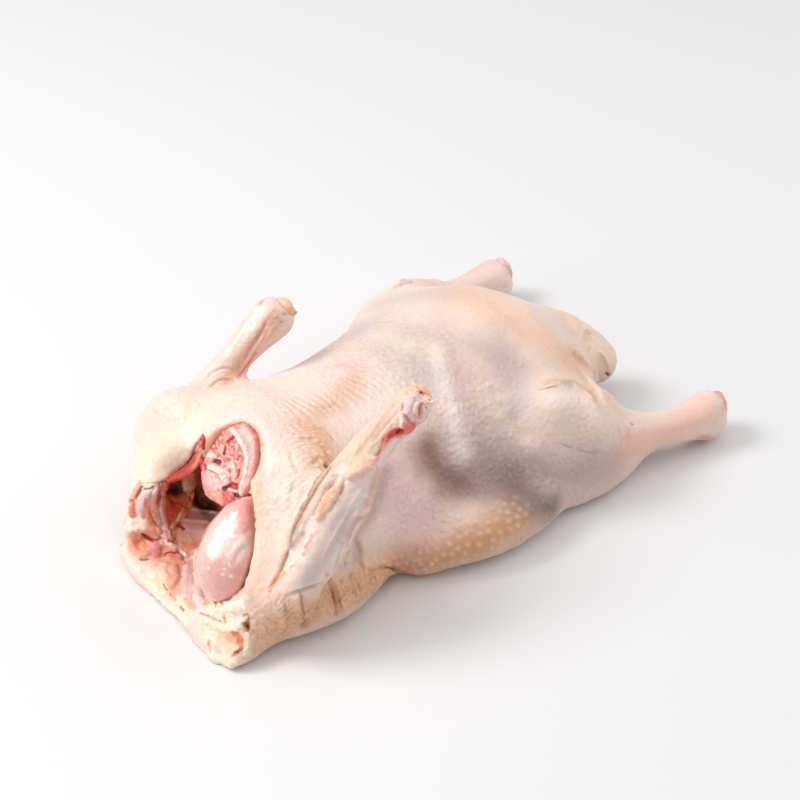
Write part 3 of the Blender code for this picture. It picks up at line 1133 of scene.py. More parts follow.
@dataclass
class DuckSkin:
    """The carcass: skin, the cut rim of the opening and the walls of the hollow."""

    nodes: dict[str, bpy.types.Object]
    eye: Eye
    box: tuple[Vector, Vector]
    voxel: float = 0.0029
    smoothing: int = 5
    far_share: float = 0.4          # how strong the folds are on the far side
    wall_share: float = 0.9         # how much of their own tint the walls of the hollow take
    spared: float = 0.8             # how much of the skin's colours the walls are spared
    narrow: float = 2.0             # a stroke narrower than this, in millimetres, needs fine faces
    thin: float = 1.6               # and a strand thinner than this the finest
    wall_edge: float = 1.12         # how far out a wall is taken, in radii of the hollow
    wall_fade: float = 0.1
    wall_facing: float = 0.1        # how much a wall faces the hollow's middle, as a cosine
    facing_fade: float = 0.3
    uneven_skin: Unevenness = Unevenness(16, 0.5, 11)
    uneven_pebbles: Unevenness = Unevenness(3.0, 0.35, 15)
    uneven_all: Unevenness = Unevenness(5, 0.22, 12)
    uneven_walls: Unevenness = Unevenness(4, 0.5, 13)
    finish: WetFinish = WetFinish("duck skin", pits=1.1, mottle=0.06, creases=0.9, scatter=0.16, bump=0.9)
    finest_areas: tuple[tuple[Triple, float], ...] = (((0.064, -0.052, 0.110), 0.016),)
    hollow: tuple[tuple[Triple, Triple, float], ...] = (
        ((0.003, -0.1196, 0.038), (0.047, 0.079, 0.030), 10.0),
        ((-0.002, -0.1756, 0.036), (0.046, 0.031, 0.027), 35.0),
        ((0.006, -0.1296, 0.0795), (0.0225, 0.0135, 0.0272), -35.0),
    )
    forms: tuple[Push, ...] = (
        Push(((436, 466),), 18, -4.2),
        Push(((166, 458), (176, 452), (186, 443)), 6, 2.4),
        Push(((137, 490),), 3.6, 2.2),
        Push(((131, 510),), 4.2, 2.4),
        Push(((128, 530),), 6, 2.0),
        Push(((118, 530),), 4, 1.4),
        Push(((122, 548),), 4, 1.4),
        Push(((168, 577),), 7, 2.0),
        Push(((160, 590),), 5, 1.4),
        Push(((193, 596),), 5, 1.4),
        Push(((232, 640),), 6, 1.0),
        Push(((214, 660),), 5, 1.6),
        Push(((206, 640),), 4, 1.4),
        Push(((264, 482), (267, 510), (267, 545), (262, 575), (254, 596)), 6, 2.4),
        Push(((326, 612), (346, 604)), 11, 3.6),
        Push(((280, 632), (296, 628)), 9, 1.6),
        Push(((500, 372),), 12, -1.0),
        Push(((556, 404), (574, 408), (590, 420)), 13, 4.0),
        Push(((528, 412),), 10, -1.2),
        Push(((604, 352),), 7, 1.6),
        Push(((330, 560),), 10, 1.4),
        Push(((300, 470),), 14, 1.6),
    )
    drags: tuple[Drag, ...] = (
        Drag(((264, 484), (267, 510), (267, 545), (262, 575), (256, 592)), 7, (-10, 0)),
        Drag(((589, 337),), 3.5, (-6, 7)),
        Drag(((288, 313),), 5, (8, -1)),
        Drag(((262, 299),), 4, (-2, -2)),
        Drag(((566, 318),), 7, (0, 4)),
        Drag(((614, 405),), 6, (-1, 8)),
        Drag(((628, 412),), 5, (0, 3)),
        Drag(((240, 382),), 5, (3, -2)),
        Drag(((115, 545),), 8, (-4, 0)),
    )
    folds: tuple[Relief, ...] = (
        # the near shoulder and the root of the wing
        Relief(C, 1.6, 1.0, ((300, 440), (312, 440), (323, 447), (331, 457)), 0.2, T.TAN),
        Relief(R, 2.4, 1.6, ((314, 452), (322, 454), (327, 461)), 0.0),
        Relief(C, 1.2, 0.9, ((312, 466), (317, 460), (323, 466)), 0.3, T.TAN),
        Relief(G, 1.6, 3.3, ((325, 463), (328, 466), (331, 468)), 0.8, T.UMBER),
        Relief(C, 1.3, 1.2, ((309, 405), (320, 408), (330, 407), (338, 402)), 0.2, T.TAN),
        Relief(C, 1.2, 0.9, ((312, 428), (326, 431), (336, 440)), 0.2, T.TAN),
        Relief(C, 1.2, 0.8, ((290, 448), (293, 462), (300, 474)), 0.15, T.TAN),
        Relief(C, 1.2, 0.9, ((296, 482), (290, 496), (288, 512)), 0.15, T.TAN),
        Relief(C, 1.1, 0.8, ((308, 484), (300, 498), (297, 508)), 0.15, T.TAN),
        # the near wing: its two edges, and the sinews between them
        Relief(L, 1.5, 3.6, ((334, 463), (327, 471), (316, 489), (305, 507), (295, 528),
               (289, 549)), 0.8, T.UMBER, 0.3),
        Relief(R, 1.5, 1.6, ((335, 470), (325, 485), (314, 503), (306, 520), (300, 536))),
        Relief(G, 1.0, 2.0, ((339, 474), (329, 488), (319, 503), (312, 517)), 0.7, T.FOLD),
        Relief(G, 1.0, 1.6, ((346, 478), (342, 488), (336, 498), (330, 512)), 0.4, T.TAN),
        Relief(G, 1.0, 2.2, ((289, 549), (284, 562), (277, 577), (270, 590)), 0.8, T.FOLD),
        Relief(G, 2.4, 1.6, ((304, 530), (297, 543), (291, 553)), 0.25, T.BRUISE),
        Relief(L, 1.6, 4.2, ((343, 544), (355, 521), (364, 508), (373, 484), (376, 466)), 0.7, T.BRUISE),
        Relief(C, 1.1, 1.6, ((343, 542), (336, 566), (329, 577), (315, 586), (302, 590),
               (284, 598)), 0.35, T.TAN),
        Relief(G, 1.0, 1.6, ((386, 434), (379, 453), (374, 458)), 0.6),
        Relief(R, 1.4, 1.6, ((394, 402), (378, 424), (362, 444), (350, 458))),
        Relief(G, 1.0, 1.2, ((400, 410), (386, 426), (372, 444)), 0.3, T.BRUISE),
        Relief(R, 1.0, 0.9, ((396, 416), (382, 434), (366, 452))),
        Relief(R, 1.1, 0.9, ((364, 484), (350, 508), (334, 536), (322, 560))),
        # the far wing
        Relief(R, 2.2, 1.2, ((258, 304), (240, 336), (218, 368))),
        Relief(G, 1.4, 1.2, ((270, 318), (252, 348), (234, 376)), 0.3, T.BLUSH),
        Relief(R, 1.2, 0.9, ((278, 322), (262, 346), (242, 374))),
        Relief(C, 0.9, 1.05, ((203, 382), (213, 372), (225, 368), (236, 372)), 0.3),
        Relief(C, 0.8, 0.9, ((208, 388), (220, 380), (234, 381)), 0.3),
        # the soft breast on the table
        Relief(R, 4.5, 2.2, ((344, 612), (344, 596), (340, 580)), 0.0),
        Relief(R, 4.5, 2.4, ((318, 622), (318, 606), (314, 594)), 0.0),
        Relief(R, 4.0, 1.6, ((288, 630), (290, 614), (290, 602)), 0.0),
        Relief(C, 1.3, 1.6, ((336, 618), (336, 606), (333, 594), (329, 580), (326, 572)), 0.4, T.FOLD),
        Relief(L, 1.4, 2.6, ((302, 622), (301, 608), (299, 592)), 0.5, T.FOLD),
        Relief(L, 1.4, 2.2, ((358, 600), (356, 588), (351, 572)), 0.35, T.FOLD),
        Relief(L, 1.3, 1.6, ((376, 590), (374, 580), (370, 570)), 0.3, T.FOLD),
        Relief(L, 1.2, 1.6, ((284, 634), (286, 618), (284, 602)), 0.25, T.FOLD),
        Relief(C, 1.2, 1.8, ((347, 543), (348, 554), (345, 562), (347, 570)), 0.4, T.TAN),
        Relief(C, 1.2, 1.6, ((356, 538), (360, 550), (361, 563), (365, 571)), 0.4, T.TAN),
        Relief(L, 1.4, 2.4, ((405, 576), (392, 570), (380, 569), (368, 572)), 0.5, T.FOLD),
        Relief(G, 3.0, 6.0, ((401, 572), (408, 577), (413, 580)), 0.4),
        Relief(G, 2.5, 4.8, ((304, 620), (307, 630)), 0.4),
        # the tail
        Relief(G, 1.6, 1.6, ((593, 339), (592, 345), (589, 354)), 0.2, T.TAN),
        Relief(R, 1.8, 1.6, ((584, 328), (588, 330), (590, 334))),
        Relief(G, 1.2, 1.4, ((606, 372), (609, 376)), 0.9, T.UMBER),
        Relief(R, 1.6, 1.2, ((598, 350), (606, 360), (609, 370))),
        # the cut edge on the duck's right
        Relief(L, 1.7, 1.4, ((138, 483), (144, 484), (163, 481), (172, 474), (183, 466), (191, 457),
               (194, 448), (203, 435)), 0.5),
        # the corner of fat and flesh on the duck's right
        Relief(R, 2.4, 2.0, ((126, 533), (138, 530), (150, 531), (160, 536))),
        Relief(G, 4.0, 4.2, ((133, 545), (142, 541), (150, 542)), 0.3, T.ORANGE),
        Relief(R, 2.4, 2.0, ((150, 553), (156, 547), (166, 546), (176, 552))),
        Relief(R, 2.6, 1.4, ((218, 605), (230, 606), (242, 604))),
    )
    walls: tuple[Relief, ...] = (
        Relief(G, 4.6, 7.0, ((160, 494), (172, 489), (184, 480), (194, 470), (200, 458)), 0.4, T.UMBER),
        Relief(G, 4.0, 4.0, ((194, 497), (202, 503), (212, 506)), 0.5, T.CAVE),
        Relief(R, 1.0, 1.6, ((192, 509), (206, 511), (222, 514))),
        Relief(R, 1.0, 1.4, ((183, 520), (198, 521), (214, 523))),
        Relief(R, 0.8, 1.0, ((184, 528), (200, 531), (212, 533))),
    )
    folds_both: tuple[Relief, ...] = (
        # the bent knee, the flap of skin over the tail, the hip and the ankle
        Relief(L, 1.5, 4.2, ((606, 410), (602, 408), (597, 406), (590, 399), (583, 391), (575, 386),
               (566, 384), (556, 385), (541, 389)),
               0.5, T.TAN, 0.2),
        Relief(L, 1.7, 3.6, ((600, 384), (597, 378), (589, 368), (580, 361), (569, 350),
               (563, 342)), 0.4, T.TAN, 0.2),
        Relief(C, 0.8, 0.6, ((554, 442), (566, 446), (578, 450), (590, 453), (606, 452)), 0.25, T.SLATE),
        Relief(G, 5.0, 2.1, ((490, 386), (508, 410), (524, 433), (540, 441)), 0.1, T.GREY),
        Relief(R, 4.0, 1.5, ((492, 382), (502, 396), (514, 408)), 0.0),
        Relief(R, 7.0, 1.65, ((432, 349), (440, 375), (450, 402), (456, 436)), 0.0),
        Relief(G, 2.6, 1.5, ((622, 412), (628, 430), (626, 450)), 0.25, T.APRICOT),
        Relief(G, 1.2, 0.75, ((616, 424), (622, 440), (622, 452)), 0.2),
    )
    wrinkles: tuple[Ripples, ...] = (
        Ripples(((272, 414), (342, 398)), 13, 4.6, 0.55),
        Ripples(((340, 400), (392, 372)), 12, 4.2, 0.3),
        Ripples(((331, 466), (296, 430)), 13, 2.3, 0.28, curled=True),
        Ripples(((262, 604), (302, 634)), 12, 2.9, 0.6),
        Ripples(((282, 480), (300, 500)), 12, 3.4, 0.20),
        Ripples(((208, 640), (248, 600)), 8, 2.8, 0.30),
    )
    wrinkles_both: tuple[Ripples, ...] = (
        Ripples(((304, 608), (392, 578)), 11, 3.0, 0.5),
        Ripples(((574, 368), (600, 396)), 6, 1.9, 0.22),
        Ripples(((560, 380), (572, 352)), 8, 2.2, 0.12),
    )
    pits_both: tuple[Pimples, ...] = (
        Pimples(13, 4.6, 1.5, 0.75, ((428, 560), (462, 547), (494, 527), (512, 515)), T.PEACH, 0.5),
        Pimples(9, 4.2, 1.3, 0.5, ((380, 572), (402, 566), (428, 572)), T.BUTTER, 0.4),
        Pimples(14, 4.8, 1.6, 0.35, ((548, 486), (575, 478), (592, 470)), T.LILAC, 0.22),
        Pimples(13, 3.6, 1.1, 0.3, ((475, 430), (500, 444), (522, 460)), T.BUTTER, 0.22),
        Pimples(15, 3.8, 1.4, 0.4, ((345, 350), (380, 364), (412, 352), (440, 344)), T.BUTTER, 0.35),
    )
    pits: tuple[Pimples, ...] = (
        Pimples(5, 4.4, 2.0, 1.0, ((113, 538), (121, 550), (145, 572), (154, 588), (170, 612),
                (186, 626)), T.BUTTER),
        Pimples(5, 3.6, 1.6, 0.7, ((204, 604), (224, 612), (240, 616)), T.PALE, 0.3),
        Pimples(6, 3.8, 1.7, 0.8, ((206, 634), (212, 652), (222, 664)), T.BUTTER, 0.5),
        Pimples(4, 3.8, 1.7, 0.8, ((246, 584), (246, 606), (246, 640)), T.BUTTER, 0.4),
    )
    pebbles: tuple[Grain, ...] = (
        Grain(0.35, 34, ((330, 360), (380, 380), (440, 400), (480, 440))),
        Grain(0.5, 20, ((450, 470), (500, 480), (560, 480))),
        Grain(0.6, 18, ((400, 500), (440, 520))),
        Grain(0.35, 30, ((270, 420), (300, 450), (290, 500))),
        Grain(1.0, 17, ((262, 636), (300, 614), (350, 596), (400, 574))),
        Grain(0.4, 16, ((570, 420), (600, 440))),
    )
    washes_both: tuple[Touch, ...] = (
        # lighter on the back, where light falls from above: painted light
        Touch(T.PALE, 0.4, 26, ((300, 376), (360, 340), (400, 322))),
        Touch(T.OCHRE, 0.95, 14, ((262, 640), (300, 612), (350, 590), (392, 568))),
        Touch(T.TAN, 0.95, 15, ((400, 574), (430, 562), (476, 545), (520, 516))),
        # painted light where the near wing's shadow falls on the flank
        Touch(T.SHELL, 0.9, 15, ((388, 468), (404, 496), (420, 518))),
        Touch(T.OCHRE, 0.5, 18, ((505, 318), (540, 338), (565, 356), (592, 384))),
        Touch(T.GREY, 0.45, 12, ((500, 332), (510, 372), (522, 402))),
        Touch(T.LILAC, 0.95, 20, ((430, 350), (452, 400), (470, 440), (500, 470))),
        Touch(T.MAUVE, 0.8, 13, ((466, 452), (490, 468), (520, 486))),
        Touch(T.MAUVE, 0.72, 17, ((540, 482), (580, 478), (612, 466))),
        # painted highlight on the top of the knee
        Touch(T.PALE, 0.3, 9, ((546, 402), (566, 394), (586, 404))),
        Touch(T.SLATE, 1.0, 11, ((514, 486), (532, 498), (552, 508))),
        # painted shade in the dent behind the wing, where the wing's shadow falls too
        Touch(T.DUSK, 0.95, 11, ((430, 448), (438, 464), (458, 478))),
        Touch(T.ROSE, 0.6, 9, ((640, 440), (680, 424), (716, 402))),
        Touch(T.APRICOT, 0.3, 9, ((626, 450), (672, 432), (704, 414))),
        Touch(T.PEACH, 0.6, 12, ((572, 320), (588, 342), (604, 366))),
        Touch(T.BUTTER, 0.7, 9, ((584, 334), (604, 356))),
        Touch(T.PEACH, 0.5, 5, ((594, 386), (604, 402))),
    )
    washes: tuple[Touch, ...] = (
        Touch(T.BUTTER, 0.35, 26, ((140, 450), (180, 412), (215, 396), (252, 384))),
        Touch(T.PEACH, 0.4, 12, ((268, 540), (264, 590), (252, 640))),
        Touch(T.BUTTER, 0.3, 14, ((300, 470), (290, 510), (282, 540))),
        # painted highlight along the front ridge of the thigh
        Touch(T.PALE, 0.8, 7, ((436, 350), (446, 390), (456, 430), (464, 452))),
        Touch(T.MAUVE, 0.55, 13, ((478, 348), (500, 356), (508, 366))),
        # painted shade in the hollow beside the ridge
        Touch(T.FOLD, 0.16, 6, ((448, 350), (456, 366), (464, 380))),
        Touch(T.BRUISE, 0.4, 6, ((346, 366), (356, 370))),
        Touch(T.ROSE, 0.4, 13, ((330, 350), (352, 360))),
        Touch(T.GREY, 0.5, 13, ((385, 348), (410, 362), (424, 376))),
        # painted shade among the shoulder's wrinkles
        Touch(T.TAN, 0.45, 8, ((322, 412), (338, 402), (352, 380))),
        Touch(T.TAN, 0.4, 7, ((316, 428), (326, 440), (326, 454))),
        Touch(T.DUSK, 0.5, 8, ((448, 482), (474, 492), (500, 494), (522, 500))),
        Touch(T.BUTTER, 0.35, 9, ((386, 336), (408, 346))),
        Touch(T.OCHRE, 0.45, 7, ((396, 400), (376, 428), (350, 458))),
        Touch(T.OCHRE, 0.6, 8, ((304, 424), (318, 440), (322, 458))),
        Touch(T.MAUVE, 0.6, 5, ((386, 470), (378, 496), (368, 520), (356, 536), (358, 556))),
        Touch(T.WEB, 0.95, 7, ((364, 488), (350, 520), (330, 555), (306, 585))),
        Touch(T.ROSE, 0.5, 5, ((276, 322), (258, 350), (240, 376))),
    )
    touches: tuple[Touch, ...] = (
        # the near wing
        Touch(T.APRICOT, 0.6, 1.8, ((300, 520), (312, 498), (328, 472), (340, 462))),
        # painted shade beside the fold under the wing's lower edge, and painted shadow down in it
        Touch(T.TAN, 0.4, 1.7, ((328, 468), (314, 488), (303, 506), (291, 530), (286, 550), (280, 570))),
        Touch(T.UMBER, 0.6, 0.6, ((331, 467), (317, 488), (306, 506), (294, 530), (289, 549),
              (284, 564), (276, 580))),
        Touch(T.LILAC, 0.5, 4.9, ((346, 516), (330, 545), (308, 578))),
        # painted shadow on the skin beside the wing's upper edge, and painted shade along the edge
        Touch(T.TAN, 0.5, 2.6, ((379, 472), (370, 498), (360, 516), (350, 534))),
        Touch(T.FOLD, 0.15, 0.8, ((376, 466), (373, 484), (364, 508), (355, 521), (344, 542))),
        # the knee and the flap over the tail: painted shade along their edges, and a painted highlight on
        # the knee
        Touch(T.TAN, 0.45, 2.4, ((545, 384), (558, 380), (572, 381), (584, 387), (594, 397))),
        Touch(T.UMBER, 0.55, 0.5, ((539, 390), (547, 388), (556, 386))),
        Touch(T.PALE, 0.25, 3.4, ((552, 395), (568, 392), (582, 400))),
        Touch(T.TAN, 0.35, 1.6, ((566, 346), (576, 356), (586, 364), (596, 374))),
        # fat low on the near wing
        Touch(T.WHITE, 0.8, 0.7, ((309, 554), (300, 561), (292, 568))),
        Touch(T.BRUISE, 0.4, 2.4, ((303, 534), (294, 546))),
        Touch(T.APRICOT, 0.6, 1.5, ((282, 572), (276, 580), (270, 590))),
        # the far wing
        Touch(T.RED, 0.8, 1.1, ((284, 314),)),
        Touch(T.RED, 0.7, 0.9, ((282, 322),)),
        Touch(T.RED, 0.6, 0.8, ((275, 305),)),
        Touch(T.TAN, 0.6, 2.0, ((262, 298), (260, 306))),
        Touch(T.OCHRE, 0.8, 4.0, ((286, 310), (296, 312))),
        Touch(T.TAN, 0.55, 4.6, ((274, 316), (264, 332), (252, 346), (242, 358), (232, 374), (226, 382))),
        Touch(T.BLUSH, 0.4, 2.4, ((270, 318), (262, 332), (248, 348))),
        Touch(T.PALE, 0.7, 3.2, ((260, 310), (244, 334), (226, 352))),
        Touch(T.ROSE, 0.6, 1.2, ((247, 314), (242, 324), (232, 342), (212, 362))),
        Touch(T.SHELL, 0.7, 0.7, ((263, 336), (251, 352), (241, 371))),
        Touch(T.CORAL, 0.75, 1.1, ((256, 353), (250, 361), (244, 369), (238, 377))),
        Touch(T.APRICOT, 0.6, 1.6, ((222, 383), (230, 382))),
        # the skin up to the edge of the opening
        Touch(T.BUTTER, 0.9, 9, ((140, 462), (160, 452), (178, 440), (192, 424))),
        # the cut edge on the duck's right, and the flesh beside it
        Touch(T.CORAL, 0.85, 2.0, ((202, 441), (198, 452), (194, 460), (187, 469), (176, 476), (164, 482))),
        Touch(T.BLUSH, 0.7, 1.2, ((201, 446), (196, 458), (188, 469), (178, 476))),
        Touch(T.UMBER, 0.7, 0.6, ((201, 438), (195, 448), (191, 458), (183, 467), (172, 475), (160, 482))),
        Touch(T.RED, 0.7, 1.2, ((199, 462), (203, 466), (204, 472))),
        Touch(T.APRICOT, 0.85, 4.9, ((136, 546), (146, 548), (158, 560))),
        Touch(T.PEACH, 0.85, 4.9, ((158, 572), (170, 582), (178, 590))),
        Touch(T.APRICOT, 0.5, 3.4, ((164, 568), (176, 576))),
        Touch(T.BUTTER, 0.9, 3.2, ((113, 538), (121, 550), (145, 572), (154, 588), (170, 606), (184, 622))),
        Touch(T.BUTTER, 0.8, 3.0, ((124, 524), (134, 526), (148, 528))),
        Touch(T.ROSE, 0.8, 3.4, ((188, 566), (194, 584), (197, 604))),
        Touch(T.BLUSH, 0.5, 2.4, ((172, 540), (186, 550), (194, 560))),
        # the lower lip
        Touch(T.BUTTER, 0.9, 4.9, ((204, 606), (224, 616), (240, 618))),
        Touch(T.BUTTER, 0.9, 4.9, ((204, 634), (214, 652), (224, 662))),
        Touch(T.PEACH, 0.95, 3.8, ((259, 452), (257, 500), (253, 545), (248, 580), (246, 610))),
        # painted shade on the inner side of the near rim's fold
        Touch(T.APRICOT, 0.5, 1.4, ((249, 548), (248, 562), (245, 576))),
        # the near hock and the tail
        Touch(T.MEAT, 0.6, 2.0, ((713, 391), (720, 394), (724, 401), (726, 410))),
        # painted shade where the hock rests on the table
        Touch(T.FOLD, 0.5, 2.4, ((700, 437), (708, 438))),
        Touch(T.FOLD, 0.6, 0.9, ((554, 317),)),
        Touch(T.UMBER, 0.6, 1.1, ((609, 375),)),
        Touch(T.FOLD, 0.6, 1.0, ((602, 381),)),
        # specks left by the plucking
        Touch(T.SPECK, 0.8, 0.8, ((632, 424),)),
        Touch(T.SPECK, 0.6, 0.6, ((638, 436),)),
        Touch(T.SPECK, 0.5, 0.6, ((598, 421),)),
        Touch(T.TAN, 0.7, 1.3, ((443, 493),)),
        Touch(T.SPECK, 0.9, 0.6, ((442, 492), (444, 494))),
        Touch(T.SPECK, 0.6, 0.6, ((417, 549),)),
        Touch(T.FOLD, 0.6, 0.6, ((283, 513),)),
        Touch(T.FOLD, 0.6, 0.6, ((273, 517),)),
        Touch(T.SPECK, 0.8, 0.7, ((122, 484),)),
    )
    wall_touches: tuple[Touch, ...] = (
        Touch(T.FOLD, 0.8, 9, ((176, 500), (196, 492), (204, 512))),
        Touch(T.UMBER, 0.8, 4.9, ((160, 496), (176, 490), (190, 478), (200, 464))),
        # painted shade between the ribs of the wall
        Touch(T.BRUISE, 0.7, 3.2, ((192, 515), (204, 516), (214, 517))),
        # painted shade deep in the opening, and the tissue there
        Touch(T.CAVE, 0.95, 4.0, ((168, 496), (175, 490), (182, 484))),
        Touch(T.CAVE, 0.8, 6, ((196, 488), (206, 498))),
        Touch(T.AMBER, 0.95, 4.9, ((170, 504), (180, 508), (184, 510), (174, 520))),
        Touch(T.CAVE, 0.95, 4.6, ((194, 496), (200, 503), (212, 508))),
        Touch(T.SHELL, 0.7, 4.9, ((190, 532), (202, 534), (214, 532))),
        Touch(T.WEB, 0.9, 1.0, ((192, 509), (206, 511), (222, 514))),
        Touch(T.WEB, 0.8, 0.9, ((183, 520), (198, 521), (214, 523))),
    )
    lumps: tuple[Strand, ...] = (
        # the corner of fat and flesh
        Strand(T.SHELL, ((150, 490), (145, 495), (142, 502), (140, 510), (141, 515)),
               (2.4, 3.2, 3.0, 1.8), (1.0,)),
        Strand(T.BLUSH, ((153, 494), (152, 503), (154, 514), (158, 524)), (1.8, 2.8, 2.4), (0.8,)),
        Strand(T.ORANGE, ((146, 498), (145, 506)), (0.6, 0.8), (0.4,)),
        Strand(T.MILK, ((143, 485), (151, 485), (160, 483)), (0.9, 1.3, 1.0), (0.9,)),
        Strand(T.SLATE, ((144, 489), (149, 489), (153, 487)), (0.5, 0.5), (-0.8,)),
        Strand(T.APRICOT, ((140, 482), (138, 488), (135, 495), (131, 499)), (1.2, 2.0, 1.4), (0.9,)),
        Strand(T.FOLD, ((142, 487), (139, 493), (136, 499)), (0.6, 0.9, 0.6), (-0.8,)),
        Strand(T.ORANGE, ((134, 503), (132, 509), (132, 515)), (1.6, 2.6, 2.0), (1.6,)),
        Strand(T.CORAL, ((129, 500), (134, 501)), (0.9,), (-0.5,)),
        Strand(T.BUTTER, ((124, 504), (124, 514), (128, 521), (138, 522), (146, 524)),
               (1.6, 2.0, 2.6, 2.0), (1.0,)),
        Strand(T.BUTTER, ((122, 530), (128, 528), (136, 529)), (2.0, 2.6, 1.8), (1.0,)),
        Strand(T.FOLD, ((118, 518), (118, 530), (117, 540), (121, 545)), (0.5, 0.6, 0.5), (-0.7,)),
        Strand(T.ORANGE, ((148, 508), (149, 516), (153, 523), (158, 529)), (0.9, 1.6, 1.3), (0.9,)),
        Strand(T.SALMON, ((146, 529), (156, 531), (164, 534)), (1.8, 2.4, 1.8), (0.9,)),
        # the pocket of flesh
        Strand(T.SALMON, ((133, 539), (134, 548), (142, 556)), (3.0, 4.4, 3.0), (1.2,)),
        Strand(T.ORANGE, ((140, 539), (143, 546), (149, 552)), (2.0, 3.0, 2.0), (1.2,)),
        Strand(T.PINK, ((153, 546), (156, 550), (155, 555)), (2.6, 3.6, 2.4), (2.0,)),
        Strand(T.FLESH, ((164, 552), (172, 553), (180, 557)), (2.0, 3.4, 2.2), (1.7,)),
        Strand(T.SALMON, ((152, 561), (161, 564), (172, 563), (183, 563)), (1.6, 2.6, 2.4, 1.6), (1.0,)),
        Strand(T.MILK, ((163, 541), (171, 545), (179, 550), (186, 556)), (1.1, 1.8, 1.6, 1.4), (1.5,)),
        Strand(T.RED, ((142, 534), (147, 538), (153, 540), (158, 539)), (0.7, 1.3, 0.8), (-1.8,)),
        Strand(T.MAUVE, ((156, 538), (160, 540), (163, 543)), (0.8, 1.1, 0.7), (0.7,)),
        Strand(T.RED, ((165, 555), (171, 553), (177, 554)), (0.5, 0.5), (-0.6,)),
        Strand(T.SLATE, ((141, 560), (146, 560), (150, 559)), (0.35, 0.4), (-0.5,)),
        Strand(T.SALMON, ((178, 536), (188, 539), (199, 542)), (1.2, 1.6, 1.2), (0.8,)),
        Strand(T.ORANGE, ((182, 545), (190, 547), (198, 549)), (1.4, 2.0, 1.8), (1.1,)),
        Strand(T.BLUSH, ((176, 527), (184, 532), (194, 537)), (0.7, 0.9, 0.7), (0.6,)),
        Strand(T.FOLD, ((165, 529), (171, 533), (173, 539)), (1.6, 2.2, 1.6), (0.8,)),
        Strand(T.UMBER, ((179, 524), (184, 529)), (1.2,), (-0.9,)),
        Strand(T.MILK, ((189, 559),), (1.5,), (1.0,)),
        Strand(T.BUTTER, ((186, 576),), (1.1,), (0.7,)),
        # the wall below it
        Strand(T.PEACH, ((163, 568), (164, 578), (168, 588)), (3.0, 4.6, 3.2), (1.0,)),
        Strand(T.SALMON, ((174, 567), (176, 577), (172, 588)), (2.6, 3.2, 1.8), (1.4,)),
        Strand(T.FOLD, ((164, 584), (165, 588), (168, 591)), (0.4, 0.5), (-0.7,)),
        Strand(T.SHELL, ((187, 566), (186, 580), (184, 596)), (1.8, 2.8, 2.0), (0.6,)),
        Strand(T.ROSE, ((191, 576), (192, 588), (189, 600)), (1.4, 2.0, 1.4), (0.8,)),
        Strand(T.PALE, ((197, 552), (199, 572), (198, 592), (202, 610)), (1.8, 3.0, 2.8, 1.8), (0.9,)),
        Strand(T.APRICOT, ((171, 594), (176, 601), (182, 607)), (0.8, 1.2, 0.8), (-0.7,)),
        Strand(T.FOLD, ((181, 607), (184, 611)), (0.7,), (-0.6,)),
        Strand(T.BUTTER, ((178, 596), (184, 604), (190, 612)), (1.2, 1.8, 1.4), (0.9,)),
        Strand(T.BUTTER, ((156, 594), (164, 603), (174, 612), (184, 620)), (1.6, 2.2, 2.4, 1.6), (1.0,)),
        # the lower lip
        Strand(T.PALE, ((208, 594), (217, 602), (228, 606), (239, 605), (246, 600)),
               (2.4, 3.8, 4.0, 3.0), (0.7,)),
        Strand(T.BUTTER, ((212, 606), (224, 611), (238, 611)), (2.0, 3.0, 2.4), (0.9,)),
        Strand(T.TAN, ((214, 593), (216, 600), (217, 607)), (0.7, 0.9, 0.6), (-0.6,)),
        Strand(T.TAN, ((221, 601), (223, 605)), (0.8,), (-0.5,)),
        Strand(T.BUTTER, ((202, 619), (212, 623), (222, 628), (236, 627), (244, 620)),
               (2.0, 2.8, 2.6, 2.2), (1.4,)),
        Strand(T.TAN, ((200, 613), (208, 616), (216, 620), (222, 622)), (0.45, 0.5), (-0.9,)),
        Strand(T.ORANGE, ((224, 618), (225, 622)), (1.1,), (-0.7,)),
        Strand(T.PEACH, ((222, 640), (231, 642), (239, 640)), (3.6, 5.2, 3.6), (-0.5,)),
        Strand(T.SALMON, ((228, 638), (235, 638)), (2.4, 3.0), (-0.3,)),
        Strand(T.ORANGE, ((234, 634), (239, 638), (241, 646)), (1.6, 2.2, 1.8), (-0.7,)),
        Strand(T.FOLD, ((233, 655), (237, 653), (241, 649)), (0.9, 1.3, 0.9), (-1.4,)),
        Strand(T.FOLD, ((246, 624), (248, 629)), (1.7,), (-1.3,)),
        Strand(T.UMBER, ((247, 626), (248, 628)), (0.8,), (-0.5,)),
        Strand(T.TAN, ((243, 616), (248, 615), (249, 621)), (0.7, 0.8, 0.6), (-0.5,)),
        Strand(T.APRICOT, ((209, 641), (210, 651)), (0.9, 1.0), (-0.5,)),
        Strand(T.ROSE, ((216, 649), (220, 651)), (1.6,), (0.4,)),
        Strand(T.ROSE, ((202, 630), (204, 640)), (0.6, 0.7), (-0.4,)),
        Strand(T.BUTTER, ((205, 656), (214, 665), (226, 667), (238, 662)), (2.0, 2.6, 2.4, 2.0), (1.0,)),
        Strand(T.BUTTER, ((247, 636), (248, 644), (246, 654)), (1.8, 2.2, 1.8), (1.0,)),
        # the near wing
        Strand(T.PEACH, ((375, 459), (366, 463), (357, 470), (351, 475)), (2.0, 4.4, 4.8, 3.2), (2.6,)),
        Strand(T.PEACH, ((339, 485), (332, 496), (324, 506), (319, 517)), (1.8, 3.6, 3.9, 2.2), (2.2,)),
        Strand(T.APRICOT, ((333, 492), (326, 502), (321, 512)), (0.8, 1.2, 0.8), (0.3,)),
        Strand(T.BUTTER, ((312, 531), (308, 541), (304, 550), (296, 560), (287, 570)),
               (1.0, 1.9, 1.5, 1.6, 0.9), (1.3,)),
